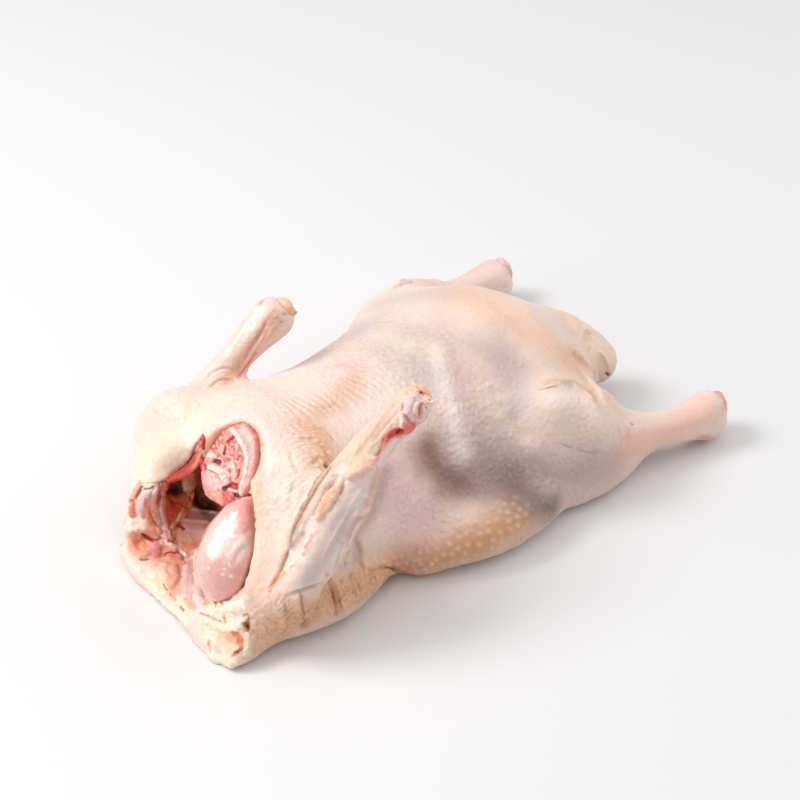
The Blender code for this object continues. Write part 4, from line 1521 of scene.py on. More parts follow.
        Strand(T.APRICOT, ((309, 543), (306, 547)), (0.7,), (0.4,)),
        Strand(T.APRICOT, ((285, 572), (278, 581), (270, 590)), (0.9, 1.3, 0.9), (0.6,)),
        # the strap from the flap to the knee
        Strand(T.CREAM, ((582, 372), (592, 382), (600, 392), (605, 405)), (1.6, 2.8, 2.6, 1.2), (1.0,)),
        Strand(T.CREAM, ((596, 383), (603, 394), (606, 405)), (1.2, 1.5, 0.9), (0.3,)),
        # the end of the near wing
        Strand(T.FLESH, ((374, 459), (380, 449), (386, 441)), (1.0, 1.6, 1.8), (0.7,)),
        Strand(T.CORAL, ((386, 440), (391, 434), (398, 431), (405, 429), (412, 425)),
               (1.4, 2.6, 3.0, 3.2, 2.4), (1.0, 1.8)),
        Strand(T.RED, ((388, 437), (394, 432), (401, 431)), (1.2, 2.0, 1.4), (0.6,)),
        Strand(T.BLOOD, ((396, 433), (399, 430)), (0.9,), (-1.0,)),
        Strand(T.ORANGE, ((403, 433), (409, 431), (414, 426)), (1.4, 2.0, 1.6), (1.4,)),
        Strand(T.MEAT, ((405, 416), (409, 421), (412, 425)), (1.0, 1.6, 1.2), (-0.8,)),
        Strand(T.SHELL, ((413, 394), (410, 400), (408, 407), (407, 413)), (2.0, 3.0, 2.6, 1.4), (1.4,)),
        Strand(T.SHELL, ((420, 402), (416, 405), (414, 412), (416, 418), (420, 421), (425, 418),
               (427, 410), (425, 404),
                            (420, 402)), (1.3,), (1.4,)),
        Strand(T.PINK, ((420, 407), (421, 411), (420, 416)), (1.5, 2.0, 1.5), (-1.2,)),
        Strand(T.MEAT, ((420, 409), (421, 413)), (0.8, 1.0), (-0.3,)),
        Strand(T.CORAL, ((403, 404), (402, 410)), (0.6,), (-0.5,)),
        Strand(T.MILK, ((401, 414), (402, 421), (400, 427)), (0.8, 1.0, 0.7), (1.0,)),
        Strand(T.PEACH, ((404, 394), (410, 389), (416, 386), (423, 389), (429, 395)),
               (1.4, 2.2, 2.2, 1.8, 1.2), (1.2,)),
        Strand(T.FOLD, ((414, 391), (421, 392), (427, 398)), (0.5, 0.6, 0.5), (-0.7,)),
        Strand(T.BRUISE, ((377, 458), (380, 450)), (0.4,), (-0.5,)),
    )

    def build(self) -> bpy.types.Object:
        """Builds the skin.

        Returns:
            The finished piece.
        """
        piece = copy_of_node(self.nodes, "carcass", "duck_skin", self.voxel, self.smoothing)
        self.refine(piece)
        skin = Surface(piece, self.eye, T.CREAM)
        for strokes, far in ((self.washes_both, True), (self.washes_both, False), (self.washes, False)):
            skin.colour(strokes, far)
        inside = self.inside(skin)
        skin.mix(np.arange(len(inside)), T.SALMON, inside * self.wall_share)
        skin.push(self.forms)
        skin.drag(self.drags)
        skin.roughen(self.pebbles)
        skin.roughen(self.pebbles, True)
        skin.crumple(self.uneven_skin, 1 - inside)
        skin.crumple(self.uneven_pebbles, skin.pebbly**4)
        skin.crumple(self.uneven_all)
        skin.crumple(self.uneven_walls, inside**2)
        for far in (True, False):
            skin.relieve(self.folds_both, far, self.far_share if far else 1.0)
            skin.ripple(self.wrinkles_both, far)
            skin.pimple(self.pits_both, far)
        skin.relieve(self.folds)
        skin.relieve(self.walls, strength=inside)
        skin.ripple(self.wrinkles)
        skin.pimple(self.pits)
        skin.colour(self.wall_touches, strength=inside)
        skin.colour(self.touches, strength=1 - inside * self.spared)
        skin.model(self.lumps)
        skin.keep_inside(*self.box)
        self.surface = skin
        piece = skin.done()
        piece.data.materials.append(self.finish.material())
        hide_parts("carcass")
        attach(piece, "root")
        return piece

    def inside(self, skin: Surface) -> np.ndarray:
        """Which places are on the walls of the hollow.

        Args:
            skin: The skin.

        Returns:
            A value for each vertex, from 1 in the hollow to 0 on the skin.
        """
        share = np.zeros(len(skin.places))
        for middle, radii, pitch in self.hollow:
            turn = np.array(Matrix.Rotation(math.radians(pitch), 3, "X"))
            offset = np.array(middle) - skin.places
            depth = np.linalg.norm(offset @ turn / np.array(radii), axis=1)
            facing = np.sum(offset * skin.normals, axis=1) / np.linalg.norm(offset, axis=1)
            within = np.clip((self.wall_edge - depth) / self.wall_fade, 0, 1)
            turned = np.clip((facing - self.wall_facing) / self.facing_fade, 0, 1)
            share = np.maximum(share, within * turned)
        return share

    def refine(self, piece: bpy.types.Object) -> None:
        """Gives smaller faces to what the strokes will reach, and the smallest where they are finest.

        Args:
            piece: The skin.
        """
        rough = Surface(piece, self.eye, T.CREAM)
        picked = rough.touched_by([*self.folds, *self.walls, *self.wrinkles, *self.pits, *self.lumps])
        for far in (False, True):
            picked |= rough.touched_by([*self.folds_both, *self.wrinkles_both, *self.pits_both], far)
        self.split(piece, picked)
        fine = Surface(piece, self.eye, T.CREAM)
        narrow = [stroke for stroke in self.folds if stroke.width < self.narrow]
        both = [stroke for stroke in self.folds_both if stroke.width < self.narrow or stroke.profile is L]
        finest = fine.touched_by([*narrow, *self.lumps, *both, self.pits_both[0]])
        for middle, reach in self.finest_areas:
            finest |= np.linalg.norm(fine.places - np.array(middle), axis=1) < reach
        self.split(piece, finest)
        last = Surface(piece, self.eye, T.CREAM)
        thin = [strand for strand in self.lumps if max(strand.widths) < self.thin]
        self.split(piece, last.touched_by(thin))

    def split(self, piece: bpy.types.Object, picked: np.ndarray) -> None:
        """Divides the faces whose corners are all picked.

        Args:
            piece: The skin.
            picked: True or False for each vertex.
        """
        pick(piece, picked)
        with editing(piece, mode="FACE"):
            bpy.ops.mesh.subdivide(number_cuts=1)
            bpy.ops.mesh.vertices_smooth(factor=0.5, repeat=2)
        LOG.info("skin: %d faces after a split", len(piece.data.polygons))


@dataclass
class CutNeck:
    """The cut end of the neck: spongy bone, white gristle and a band of muscle."""

    nodes: dict[str, bpy.types.Object]
    eye: Eye
    voxel: float = 0.00048
    smoothing: int = 6
    grow: float = 0.0007
    uneven: tuple[Unevenness, ...] = (
        Unevenness(6, 0.5, 21), Unevenness(2.4, 0.3, 22), Unevenness(1.1, 0.14, 23),
    )
    finish: WetFinish = WetFinish(
        "cut neck", roughness=0.3, coat=0.5, coat_roughness=0.15, depth=0.002, mottle=0.16,
        mottle_size=0.003, grain=0.6
    )
    relief: tuple[Relief, ...] = (
        Relief(G, 0.7, 1.0, ((236, 438), (239, 446), (241, 455), (243, 463)), 0.6, T.RED),
        Relief(G, 0.6, 0.8, ((247, 438), (248, 452), (249, 466), (246, 484)), 0.4, T.MEAT),
    )
    lumps: tuple[Strand, ...] = (
        Strand(T.MILK, ((232, 430), (239, 440), (245, 450), (247, 462), (245, 474), (241, 486), (241, 495)),
               (1.2, 1.5, 1.5, 1.3), (0.8,)),
        Strand(T.ROSE, ((240, 432), (248, 441), (253, 453), (252, 466)), (1.8, 2.4, 2.2), (0.7,)),
        Strand(T.BONE, ((251, 466), (249, 477), (245, 487)), (2.0, 2.4, 1.8), (0.7,)),
        Strand(T.MILK, ((200, 455), (206, 455), (213, 456)), (1.6, 1.8, 1.4), (1.2,)),
        Strand(T.MILK, ((208, 467), (215, 469), (221, 473), (223, 480)), (1.4, 1.9, 1.6), (0.7,)),
        Strand(T.BONE, ((209, 477), (212, 483), (216, 487)), (3.4, 4.2, 3.2), (0.7,)),
        Strand(T.SHELL, ((228, 489), (232, 490), (236, 492)), (1.1, 1.3, 1.0), (1.4,)),
        Strand(T.SALMON, ((213, 495), (219, 499), (223, 504)), (1.7, 2.3, 1.4), (1.2,)),
        Strand(T.CORAL, ((225, 493), (228, 498), (230, 502)), (1.9, 2.5, 1.6), (1.2,)),
        Strand(T.RED, ((233, 498), (234, 502)), (1.4, 1.6), (0.7,)),
        Strand(T.BLOOD, ((224, 489), (228, 487)), (1.6, 1.8), (-1.6,)),
        Strand(T.RED, ((231, 485), (236, 487)), (1.6, 1.9), (-1.6,)),
        Strand(T.BLOOD, ((235, 494), (239, 497)), (1.1, 1.2), (-1.2,)),
        Strand(T.BLOOD, ((215, 461), (219, 462)), (1.3, 1.6), (-1.6,)),
        Strand(T.BLOOD, ((225, 446), (224, 454)), (0.6, 0.7), (-0.9,)),
        Strand(T.RED, ((228, 442), (234, 437)), (1.0, 1.0), (-0.8,)),
        Strand(T.CORAL, ((216, 434), (212, 439), (209, 443)), (1.2, 1.2), (-0.6,)),
        Strand(T.RED, ((239, 470), (238, 476), (236, 479)), (0.7, 0.8), (-0.8,)),
        Strand(T.BRUISE, ((209, 471), (213, 472), (217, 475), (219, 479)), (0.35, 0.4), (-0.5,)),
        Strand(T.RED, ((199, 461), (203, 463), (205, 468)), (1.2, 1.4), (-1.5,)),
    )
    sponge: tuple[Grain, ...] = (
        Grain(1.0, 7.0, ((216, 440), (218, 452))),
        Grain(1.0, 7.5, ((233, 448), (234, 462), (228, 474))),
        Grain(0.8, 6.0, ((210, 474), (214, 486))),
        Grain(0.45, 3.0, ((238, 434), (247, 450), (247, 468), (242, 490))),
    )
    washes: tuple[Touch, ...] = (
        Touch(T.BONE, 0.9, 4.0, ((243, 432), (253, 446), (255, 466), (248, 488))),
        Touch(T.PINK, 0.6, 1.4, ((250, 470), (248, 480), (244, 490))),
        Touch(T.MILK, 0.9, 1.5, ((232, 430), (240, 441), (246, 454), (245, 470), (241, 494))),
        Touch(T.MILK, 0.7, 2.4, ((208, 467), (216, 470), (222, 472), (226, 480))),
        Touch(T.MILK, 0.8, 1.8, ((200, 455), (208, 455), (214, 456))),
        Touch(T.BONE, 0.8, 4.2, ((210, 476), (216, 484), (224, 478))),
        Touch(T.SALMON, 0.8, 2.3, ((216, 496), (221, 501))),
        Touch(T.CORAL, 0.8, 2.2, ((226, 495), (229, 500))),
        Touch(T.RED, 0.7, 1.6, ((233, 497), (234, 502))),
        Touch(T.CORAL, 0.9, 1.3, ((216, 434), (212, 438), (209, 443))),
        Touch(T.PINK, 0.7, 1.8, ((206, 436), (210, 430), (218, 427))),
        Touch(T.SHELL, 0.7, 1.2, ((222, 426), (230, 429))),
        Touch(T.RED, 0.7, 1.2, ((202, 446), (203, 452))),
    )

    def build(self) -> bpy.types.Object:
        """Builds the neck.

        Returns:
            The finished piece.
        """
        piece = copy_of_node(self.nodes, "neck_stump", "cut_neck", self.voxel, self.smoothing)
        neck = Surface(piece, self.eye, T.BLUSH)
        neck.grow(self.grow)
        neck.colour(self.washes)
        for uneven in self.uneven:
            neck.crumple(uneven)
        neck.sponge(self.sponge, T.RED)
        neck.relieve(self.relief)
        neck.model(self.lumps)
        piece = neck.done()
        piece.data.materials.append(self.finish.material())
        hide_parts("neck_stump")
        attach(piece, "root")
        return piece


@dataclass
class BreastMuscle:
    """The wet muscle that bulges into the opening."""

    nodes: dict[str, bpy.types.Object]
    eye: Eye
    voxel: float = 0.0010
    smoothing: int = 24
    uneven: tuple[Unevenness, ...] = (Unevenness(9, 0.6, 31), Unevenness(3, 0.22, 32))
    finish: WetFinish = WetFinish(
        "wet muscle", roughness=0.28, coat=1.0, coat_roughness=0.17, depth=0.003, scatter=0.4,
        mottle=0.1, grain=0.4
    )
    swell: tuple[Push, ...] = (
        Push(((260, 506), (262, 530), (260, 556), (254, 584)), 7, -4.5),
        Push(((206, 560),), 11, 1.8),
        Push(((222, 596),), 11, 2.0),
        Push(((246, 560),), 14, 1.6),
        Push(((244, 510),), 10, 1.8),
        Push(((214, 532),), 8, 1.0),
    )
    relief: tuple[Relief, ...] = (
        Relief(G, 1.4, 0.7, ((252, 528), (244, 533), (234, 534), (226, 528)), 0.1, T.MEAT),
        Relief(G, 0.5, 0.4, ((228, 533), (220, 540), (210, 548), (205, 558)), 0.25, T.BRUISE),
        Relief(G, 0.5, 0.35, ((238, 536), (232, 546), (224, 556), (222, 566)), 0.25, T.BRUISE),
        Relief(G, 0.5, 0.35, ((212, 548), (210, 560), (212, 572)), 0.25, T.BRUISE),
        Relief(G, 1.6, 0.7, ((250, 544), (240, 552), (232, 566)), 0.1, T.MEAT),
        Relief(R, 2.2, 0.7, ((236, 506), (226, 518), (214, 536))),
        Relief(R, 1.4, 0.5, ((246, 540), (236, 548), (229, 560))),
    )
    washes: tuple[Touch, ...] = (
        Touch(T.PINK, 0.8, 7.0, ((250, 502), (244, 522))),
        # the pale middle: partly the muscle's own pale film, partly painted sheen
        Touch(T.MILK, 0.85, 6.5, ((226, 524), (214, 540), (226, 546), (240, 540))),
        Touch(T.MILK, 0.7, 4.6, ((212, 552), (224, 552), (246, 552))),
        # a painted highlight down the middle
        Touch(T.WHITE, 0.7, 4.4, ((232, 522), (222, 536), (212, 552))),
        Touch(T.PINK, 0.35, 8.0, ((214, 580), (230, 590), (238, 574))),
        Touch(T.ROSE, 0.6, 3.0, ((205, 560), (206, 574), (210, 586))),
        Touch(T.SHELL, 0.7, 3.0, ((248, 560), (245, 580), (240, 596))),
        Touch(T.WHITE, 0.85, 0.8, ((209, 568),)),
        Touch(T.WHITE, 0.9, 0.9, ((224, 569),)),
        Touch(T.WHITE, 0.85, 0.8, ((223, 574),)),
        Touch(T.WHITE, 0.9, 1.3, ((231, 576),)),
        Touch(T.WHITE, 0.85, 0.7, ((241, 578),)),
        Touch(T.WHITE, 0.6, 0.6, ((228, 562), (230, 566))),
    )

    def build(self) -> bpy.types.Object:
        """Builds the muscle.

        Returns:
            The finished piece.
        """
        piece = copy_of_node(self.nodes, "breast_muscle", "breast_fillet", self.voxel, self.smoothing)
        muscle = Surface(piece, self.eye, T.BONE)
        muscle.push(self.swell)
        muscle.colour(self.washes)
        for uneven in self.uneven:
            muscle.crumple(uneven)
        muscle.relieve(self.relief)
        piece = muscle.done()
        piece.data.materials.append(self.finish.material())
        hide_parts("breast_muscle")
        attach(piece, "root")
        return piece


@dataclass
class Curtain:
    """A sheet of tissue that hangs in the opening, with its border sunk in what carries it."""

    carrier: Surface
    name: str
    outline: tuple[Pixel, ...]
    anchors: tuple[tuple[Pixel, float], ...]
    strands: tuple[Strand, ...]
    ground: Tint
    touches: tuple[Touch, ...] = ()
    step: float = 0.6
    lift: float = 0.0006
    sunk_width: float = 3.0
    hang: float = 0.007
    thickness: float = 0.0009
    uneven: tuple[Unevenness, ...] = (Unevenness(5.0, 0.9, 50), Unevenness(2.2, 0.45, 51))
    finish: WetFinish = WetFinish(
        "wet tissue", roughness=0.24, coat=0.7, coat_roughness=0.12, depth=0.002, scatter=0.35, mottle=0.12,
        mottle_size=0.003, grain=0.5,
    )

    def build(self) -> bpy.types.Object:
        """Builds the sheet.

        Returns:
            The finished piece.
        """
        border = np.array(rounded_line(self.outline + self.outline[:1], 2.0))
        low, high = border.min(0), border.max(0)
        across, down = (int((high[axis] - low[axis]) / self.step) for axis in (0, 1))
        bpy.ops.mesh.primitive_grid_add(x_subdivisions=across, y_subdivisions=down, size=1.0)
        piece = bpy.context.object
        piece.name = piece.data.name = self.name
        spots = np.array([(vertex.co.x + 0.5, vertex.co.y + 0.5) for vertex in piece.data.vertices])
        pixels = spots * (high - low) + low
        self.hang_up(piece, border, pixels)
        pick(piece, [not self.holds(border, pixel) for pixel in pixels])
        with editing(piece):
            bpy.ops.mesh.delete(type="VERT")
        finish_with(piece, "SMOOTH", factor=0.5, iterations=6)
        sheet = self.turned_outwards(piece)
        for uneven in self.uneven:
            sheet.crumple(uneven)
        sheet.model(self.strands)
        sheet.colour(self.touches)
        piece = sheet.done()
        finish_with(piece, "SOLIDIFY", thickness=self.thickness, offset=-1.0)
        rounding = {"width": self.thickness * 0.3, "segments": 2, "angle_limit": 1.0}
        finish_with(piece, "BEVEL", limit_method="ANGLE", **rounding)
        choose(piece)
        bpy.ops.object.shade_smooth()
        piece.data.materials.append(self.finish.material())
        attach(piece, "root")
        return piece

    def hang_up(self, piece: bpy.types.Object, border: np.ndarray, pixels: np.ndarray) -> None:
        """Hangs the flat sheet in front of what carries it, and sinks its border in it.

        Args:
            piece: The sheet.
            border: Its border, one pixel a row.
            pixels: Where in the picture each of its vertices is.
        """
        eye = self.carrier.eye
        depth = self.fitted()
        for vertex, pixel in zip(piece.data.vertices, pixels):
            x, y = pixel
            hung = float(depth @ np.array([1.0, x, y, x * y, y * y]))
            met = self.carrier.seen((x, y))
            if met:
                carried = (met[0] - eye.place()).length
                from_border = np.linalg.norm(border - pixel, axis=1).min()
                hung = min(hung, carried - self.lift)
                if carried - hung < self.hang:
                    sunk = math.exp(-((from_border / self.sunk_width) ** 2))
                    hung += (carried + self.lift - hung) * sunk
            vertex.co = eye.place() + eye.ray((x, y)) * hung

    def turned_outwards(self, piece: bpy.types.Object) -> Surface:
        """Turns the faces of the sheet towards the eye.

        Args:
            piece: The sheet.

        Returns:
            Its surface.
        """
        with editing(piece, everything=True):
            bpy.ops.mesh.normals_make_consistent(inside=False)
        sheet = Surface(piece, self.carrier.eye, self.ground)
        if (sheet.normals @ np.array(sheet.eye.back())).mean() < 0:
            with editing(piece):
                bpy.ops.mesh.flip_normals()
            sheet = Surface(piece, self.carrier.eye, self.ground)
        return sheet

    def fitted(self) -> np.ndarray:
        """Fits a smooth sheet to the anchors.

        Returns:
            Factors of 1, x, y, xy and yy in its distance from the eye at pixel x, y.
        """
        start = self.carrier.eye.place()
        rows, values = [], []
        for (x, y), lift in self.anchors:
            met = self.carrier.seen((x, y))
            rows.append((1.0, x, y, x * y, y * y))
            values.append((met[0] - start).length - lift * MM)
        return np.linalg.lstsq(np.array(rows), np.array(values), rcond=None)[0]

    @staticmethod
    def holds(border: np.ndarray, pixel: np.ndarray) -> bool:
        """Whether a pixel is inside a border.

        Args:
            border: The border, closed, one pixel a row.
            pixel: The pixel.

        Returns:
            True if it is inside.
        """
        (xa, ya), (xb, yb) = border[:-1].T, border[1:].T
        crossed = (ya > pixel[1]) != (yb > pixel[1])
        slope = (xb - xa) * (pixel[1] - ya) / np.where(yb == ya, 1e-9, yb - ya) + xa
        return bool(np.count_nonzero(crossed & (pixel[0] < slope)) % 2)


@dataclass
class Shreds:
    """Loose strands of flesh, sinew and fat at a cut, grown into one piece."""

    carriers: tuple[Surface, ...]
    name: str
    strands: tuple[Strand, ...]
    box: tuple[Vector, Vector]
    voxel: float = 0.0004
    same_place: float = 0.035       # a strand whose ends are further apart in depth stays level
    soft_edge: float = 0.0004       # how far past a strand its tint reaches
    uneven: tuple[Unevenness, ...] = (Unevenness(2.0, 0.35, 51), Unevenness(0.9, 0.15, 52))
    finish: WetFinish = WetFinish(
        "wet sinew", roughness=0.26, coat=0.6, coat_roughness=0.12, depth=0.002, scatter=0.35, mottle=0.1,
        mottle_size=0.003, grain=0.5,
    )

    def build(self) -> bpy.types.Object:
        """Builds the piece.

        Returns:
            The finished piece.
        """
        curve = bpy.data.curves.new(self.name, "CURVE")
        curve.dimensions = "3D"
        curve.bevel_depth = MM
        curve.bevel_resolution = 3
        curve.use_fill_caps = True
        routes = [self.route(strand) for strand in self.strands]
        for points, widths in routes:
            spline = curve.splines.new("POLY")
            spline.points.add(len(points) - 1)
            for point, place, width in zip(spline.points, points, widths):
                point.co = (*place, 1.0)
                point.radius = width
        piece = bpy.data.objects.new(self.name, curve)
        bpy.context.scene.collection.objects.link(piece)
        choose(piece)
        bpy.ops.object.convert(target="MESH")
        piece = bpy.context.object
        finish_with(piece, "REMESH", mode="VOXEL", voxel_size=self.voxel)
        finish_with(piece, "SMOOTH", factor=0.5, iterations=3)
        shreds = Surface(piece, self.carriers[0].eye, self.strands[0].tint)
        self.dye(shreds, routes)
        for uneven in self.uneven:
            shreds.crumple(uneven)
        shreds.keep_inside(*self.box)
        piece = shreds.done()
        piece.data.materials.append(self.finish.material())
        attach(piece, "root")
        return piece

    def met(self, pixel: Pixel) -> float:
        """How far from the eye the nearest carrier is at a pixel.

        Args:
            pixel: Place in the picture.

        Returns:
            The distance in metres, or not a number where there is none.
        """
        start = self.carriers[0].eye.place()
        hits = [hit for hit in (carrier.seen(pixel) for carrier in self.carriers) if hit]
        return min(((hit[0] - start).length for hit in hits), default=math.nan)

    def route(self, strand: Strand) -> tuple[np.ndarray, np.ndarray]:
        """Runs a strand from what carries its first pixel to what carries its last.

        It stays level where the two are far apart in depth.

        Args:
            strand: The strand; its heights say how far it lies in front.

        Returns:
            Points along it, and its half width at each in millimetres.
        """
        eye = self.carriers[0].eye
        line = rounded_line(strand.line, 1.2)
        steps = np.linspace(0, 1, len(line))
        lifts = along_line(steps, strand.heights) * MM
        start, end = self.met(line[0]), self.met(line[-1])
        if not abs(end - start) < self.same_place:
            end = start
        depths = start + (end - start) * steps - lifts
        seen = zip(line, depths)
        points = np.array([eye.place() + eye.ray(pixel) * float(depth) for pixel, depth in seen])
        widths = along_line(steps, strand.widths)
        length = max(np.linalg.norm(np.diff(points, axis=0), axis=1).sum(), 1e-6)
        ends = np.clip(np.minimum(steps, 1 - steps) * length / (widths * MM), 0, 1)
        return points, widths * np.sqrt(np.clip(1 - (1 - ends) ** 2, 0.06, 1))

    def dye(self, shreds: Surface, routes: list[tuple[np.ndarray, np.ndarray]]) -> None:
        """Gives each place the tint of the strand it belongs to, with soft passages between strands.

        Args:
            shreds: The fused surface.
            routes: Points and half widths of the strands.
        """
        total = np.zeros((len(shreds.places), 4))
        for strand, (points, widths) in zip(self.strands, routes):
            best = np.full(len(shreds.places), 1e9)
            for point, width in zip(points, widths):
                away = np.linalg.norm(shreds.places - point, axis=1)
                best = np.minimum(best, away / (width * MM + self.soft_edge))
            weight = np.exp(-((best * 1.3) ** 4)) + 1e-9 / best
            total[:, :3] += strand.tint.linear() * weight[:, None]
            total[:, 3] += weight
        shreds.colours = total[:, :3] / total[:, 3:]


def loose_tissue(skin: Surface, joint: Surface, box: tuple[Vector, Vector]) -> list[Curtain | Shreds]:
    """The membranes in the opening and the shreds at the ends of the wings.

    Args:
        skin: The skin.
        joint: The joint at the end of the near wing.
        box: What they stay inside.

    Returns:
        The pieces, not yet built.
    """
    wall = Curtain(
        skin, "hollow_curtain",
        ((156, 482), (166, 479), (172, 478), (170, 484), (168, 490), (169, 497), (174, 499), (181, 500),
        (184, 497), (182, 490),
         (181, 484), (182, 476), (190, 468), (200, 462), (204, 470), (203, 480), (198, 488), (194, 497),
         (191, 507), (186, 515),
         (179, 522), (176, 530), (174, 542), (164, 542), (156, 532), (151, 522), (149, 508), (150, 494)),
        (((152, 490), 1.0), ((160, 484), 1.0), ((168, 479), 1.0), ((184, 469), 0.0), ((196, 452), 0.0),
        ((152, 524), 1.5),
         ((160, 534), 1.0), ((170, 540), 1.0), ((176, 532), 1.0)),
        (
            Strand(T.AMBER, ((172, 502), (177, 510), (174, 519)), (4.4, 5.4, 3.0), (0.5,)),
            Strand(T.SALMON, ((160, 530), (166, 538), (173, 541), (175, 532)), (3.0, 3.4, 2.6), (0.4,)),
            Strand(T.BRICK, ((172, 502), (176, 509), (172, 516)), (1.2, 1.8, 1.2), (0.3,)),
            Strand(T.ROSE, ((158, 486), (154, 499), (155, 512), (160, 524), (166, 536)),
                   (1.4, 2.4, 2.4, 2.0), (1.0,)),
            Strand(T.FLESH, ((152, 497), (151, 506), (153, 516)), (1.0, 1.6, 1.2), (0.7,)),
            Strand(T.SALMON, ((166, 480), (164, 489), (163, 500), (163, 512), (165, 524), (169, 534),
                   (171, 541)),
                   (1.8, 2.6, 2.8, 2.6, 2.2, 1.6), (1.2,)),
            Strand(T.ORANGE, ((166, 484), (165, 496), (165, 510), (167, 523)), (0.7, 0.9, 0.7), (0.3,)),
            # painted highlights on the strap and on the violet folds beside it
            Strand(T.SHELL, ((161, 498), (160, 510), (162, 521)), (0.4, 0.7, 0.5), (0.3,)),
            Strand(T.WEB, ((156, 506), (158, 518), (163, 530)), (0.9, 1.2, 1.0), (0.8,)),
            Strand(T.UMBER, ((190, 472), (197, 474), (200, 480)), (2.4, 3.4, 2.0), (0.4,)),
            Strand(T.EARTH, ((196, 468), (198, 475), (196, 482)), (2.2, 2.6, 1.6), (0.6,)),
            Strand(T.OCHRE, ((187, 474), (187, 481), (189, 487), (192, 493)), (2.6, 3.6, 3.6, 2.0), (0.8,)),
            Strand(T.PEACH, ((185, 482), (187, 488)), (1.0, 1.4), (0.4,)),
            Strand(T.APRICOT, ((192, 474), (190, 480)), (1.6, 2.0), (0.5,)),
            Strand(T.FOLD, ((187, 492), (191, 494), (193, 490)), (0.8, 1.2, 0.8), (0.4,)),
            Strand(T.SALMON, ((193, 494), (190, 504), (185, 513), (178, 520), (172, 527)),
                   (0.9, 1.3, 1.6, 1.4), (1.2,)),
            Strand(T.ORANGE, ((191, 500), (186, 509), (180, 516)), (0.6, 0.8, 0.6), (1.4,)),
            # painted highlight on the orange band
            Strand(T.PEACH, ((184, 508), (179, 516), (176, 521)), (0.4, 0.7, 0.5), (1.4,)),
        ),
        T.FOLD,
        touches=(
            Touch(T.CORAL, 0.5, 0.6, ((148, 504), (150, 511), (152, 517))),
            Touch(T.UMBER, 0.6, 1.6, ((170, 500), (172, 508))),
            Touch(T.FLESH, 0.6, 1.4, ((166, 482), (165, 492), (165, 504))),
        ),
    )
    ragged = (
        Strand(T.PEACH, ((424, 395), (430, 399), (437, 403)), (0.9, 0.7, 0.35), (-0.2, 1.2)),
        Strand(T.BUTTER, ((423, 398), (429, 402), (434, 402)), (0.7, 0.6, 0.35), (-0.2, 1.2)),
        Strand(T.SALMON, ((418, 389), (425, 392), (431, 397)), (0.9, 0.7, 0.4), (-0.3, 0.8)),
    )
    roll = (
        Strand(T.BRICK, ((205, 434), (202, 445), (199, 455), (194, 464), (187, 472), (177, 477),
               (164, 482)),
               (2.0, 2.6, 2.9, 2.8, 2.6, 2.2, 1.5), (-0.6, -0.6, -0.7, -0.9, -1.2)),
        Strand(T.RED, ((203, 438), (199, 449), (194, 459), (187, 467), (178, 473), (168, 477)),
               (0.9, 1.0, 0.9), (-0.4, 0.4, 0.2)),
        # painted highlight along the roll of cut flesh
        Strand(T.MEAT, ((202, 442), (200, 452), (196, 461), (189, 469), (180, 474), (170, 478)),
               (1.2, 1.6, 1.5, 1.2), (0.4, 0.6)),
        Strand(T.FLESH, ((202, 452), (198, 462), (190, 471), (180, 477), (168, 481)),
               (1.2, 1.5, 1.4, 1.2), (-1.2, -0.6)),
        Strand(T.RED, ((204, 436), (204, 443), (203, 450)), (1.2, 1.6, 1.0), (0.4,)),
        Strand(T.RED, ((203, 455), (204, 463), (202, 471)), (1.4, 2.0, 1.4), (-3.0,)),
    )
    return [
        wall,
        Shreds((skin,), "cut_edge_flesh", roll, box),
        Shreds((skin, joint), "ragged_sinews", ragged, box),
    ]


@dataclass
class JointEnd:
    """A cut joint: gristle, bone or joint skin at the end of a wing or of a leg."""

    nodes: dict[str, bpy.types.Object]
    eye: Eye
    box: tuple[Vector, Vector]
    node: str
    name: str
    finish: WetFinish
    ground: Tint
    grow: float = 0.0004
    uneven: Unevenness = Unevenness(2.6, 0.3, 41)
    relief: tuple[Relief, ...] = ()
    touches: tuple[Touch, ...] = ()
    lumps: tuple[Strand, ...] = ()
    voxel: float = 0.0004
    smoothing: int = 16

    def build(self) -> bpy.types.Object:
        """Builds the end of the joint.

        Returns:
            The finished piece.
        """
        piece = copy_of_node(self.nodes, self.node, self.name, self.voxel, self.smoothing)
        end = Surface(piece, self.eye, self.ground)
        end.grow(self.grow)
        end.crumple(self.uneven)
        end.relieve(self.relief)
        end.colour(self.touches)
        end.model(self.lumps)
        end.keep_inside(*self.box)
        self.surface = end
        piece = end.done()
        piece.data.materials.append(self.finish.material())
        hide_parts(self.node)
        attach(piece, "root")
        return piece


GRISTLE = WetFinish("moist gristle", roughness=0.3, coat=0.6, coat_roughness=0.12, depth=0.002,
mottle_size=0.004)
JOINT_SKIN = WetFinish("joint skin", roughness=0.4, coat=0.3, depth=0.002, mottle_size=0.003, grain=0.6)


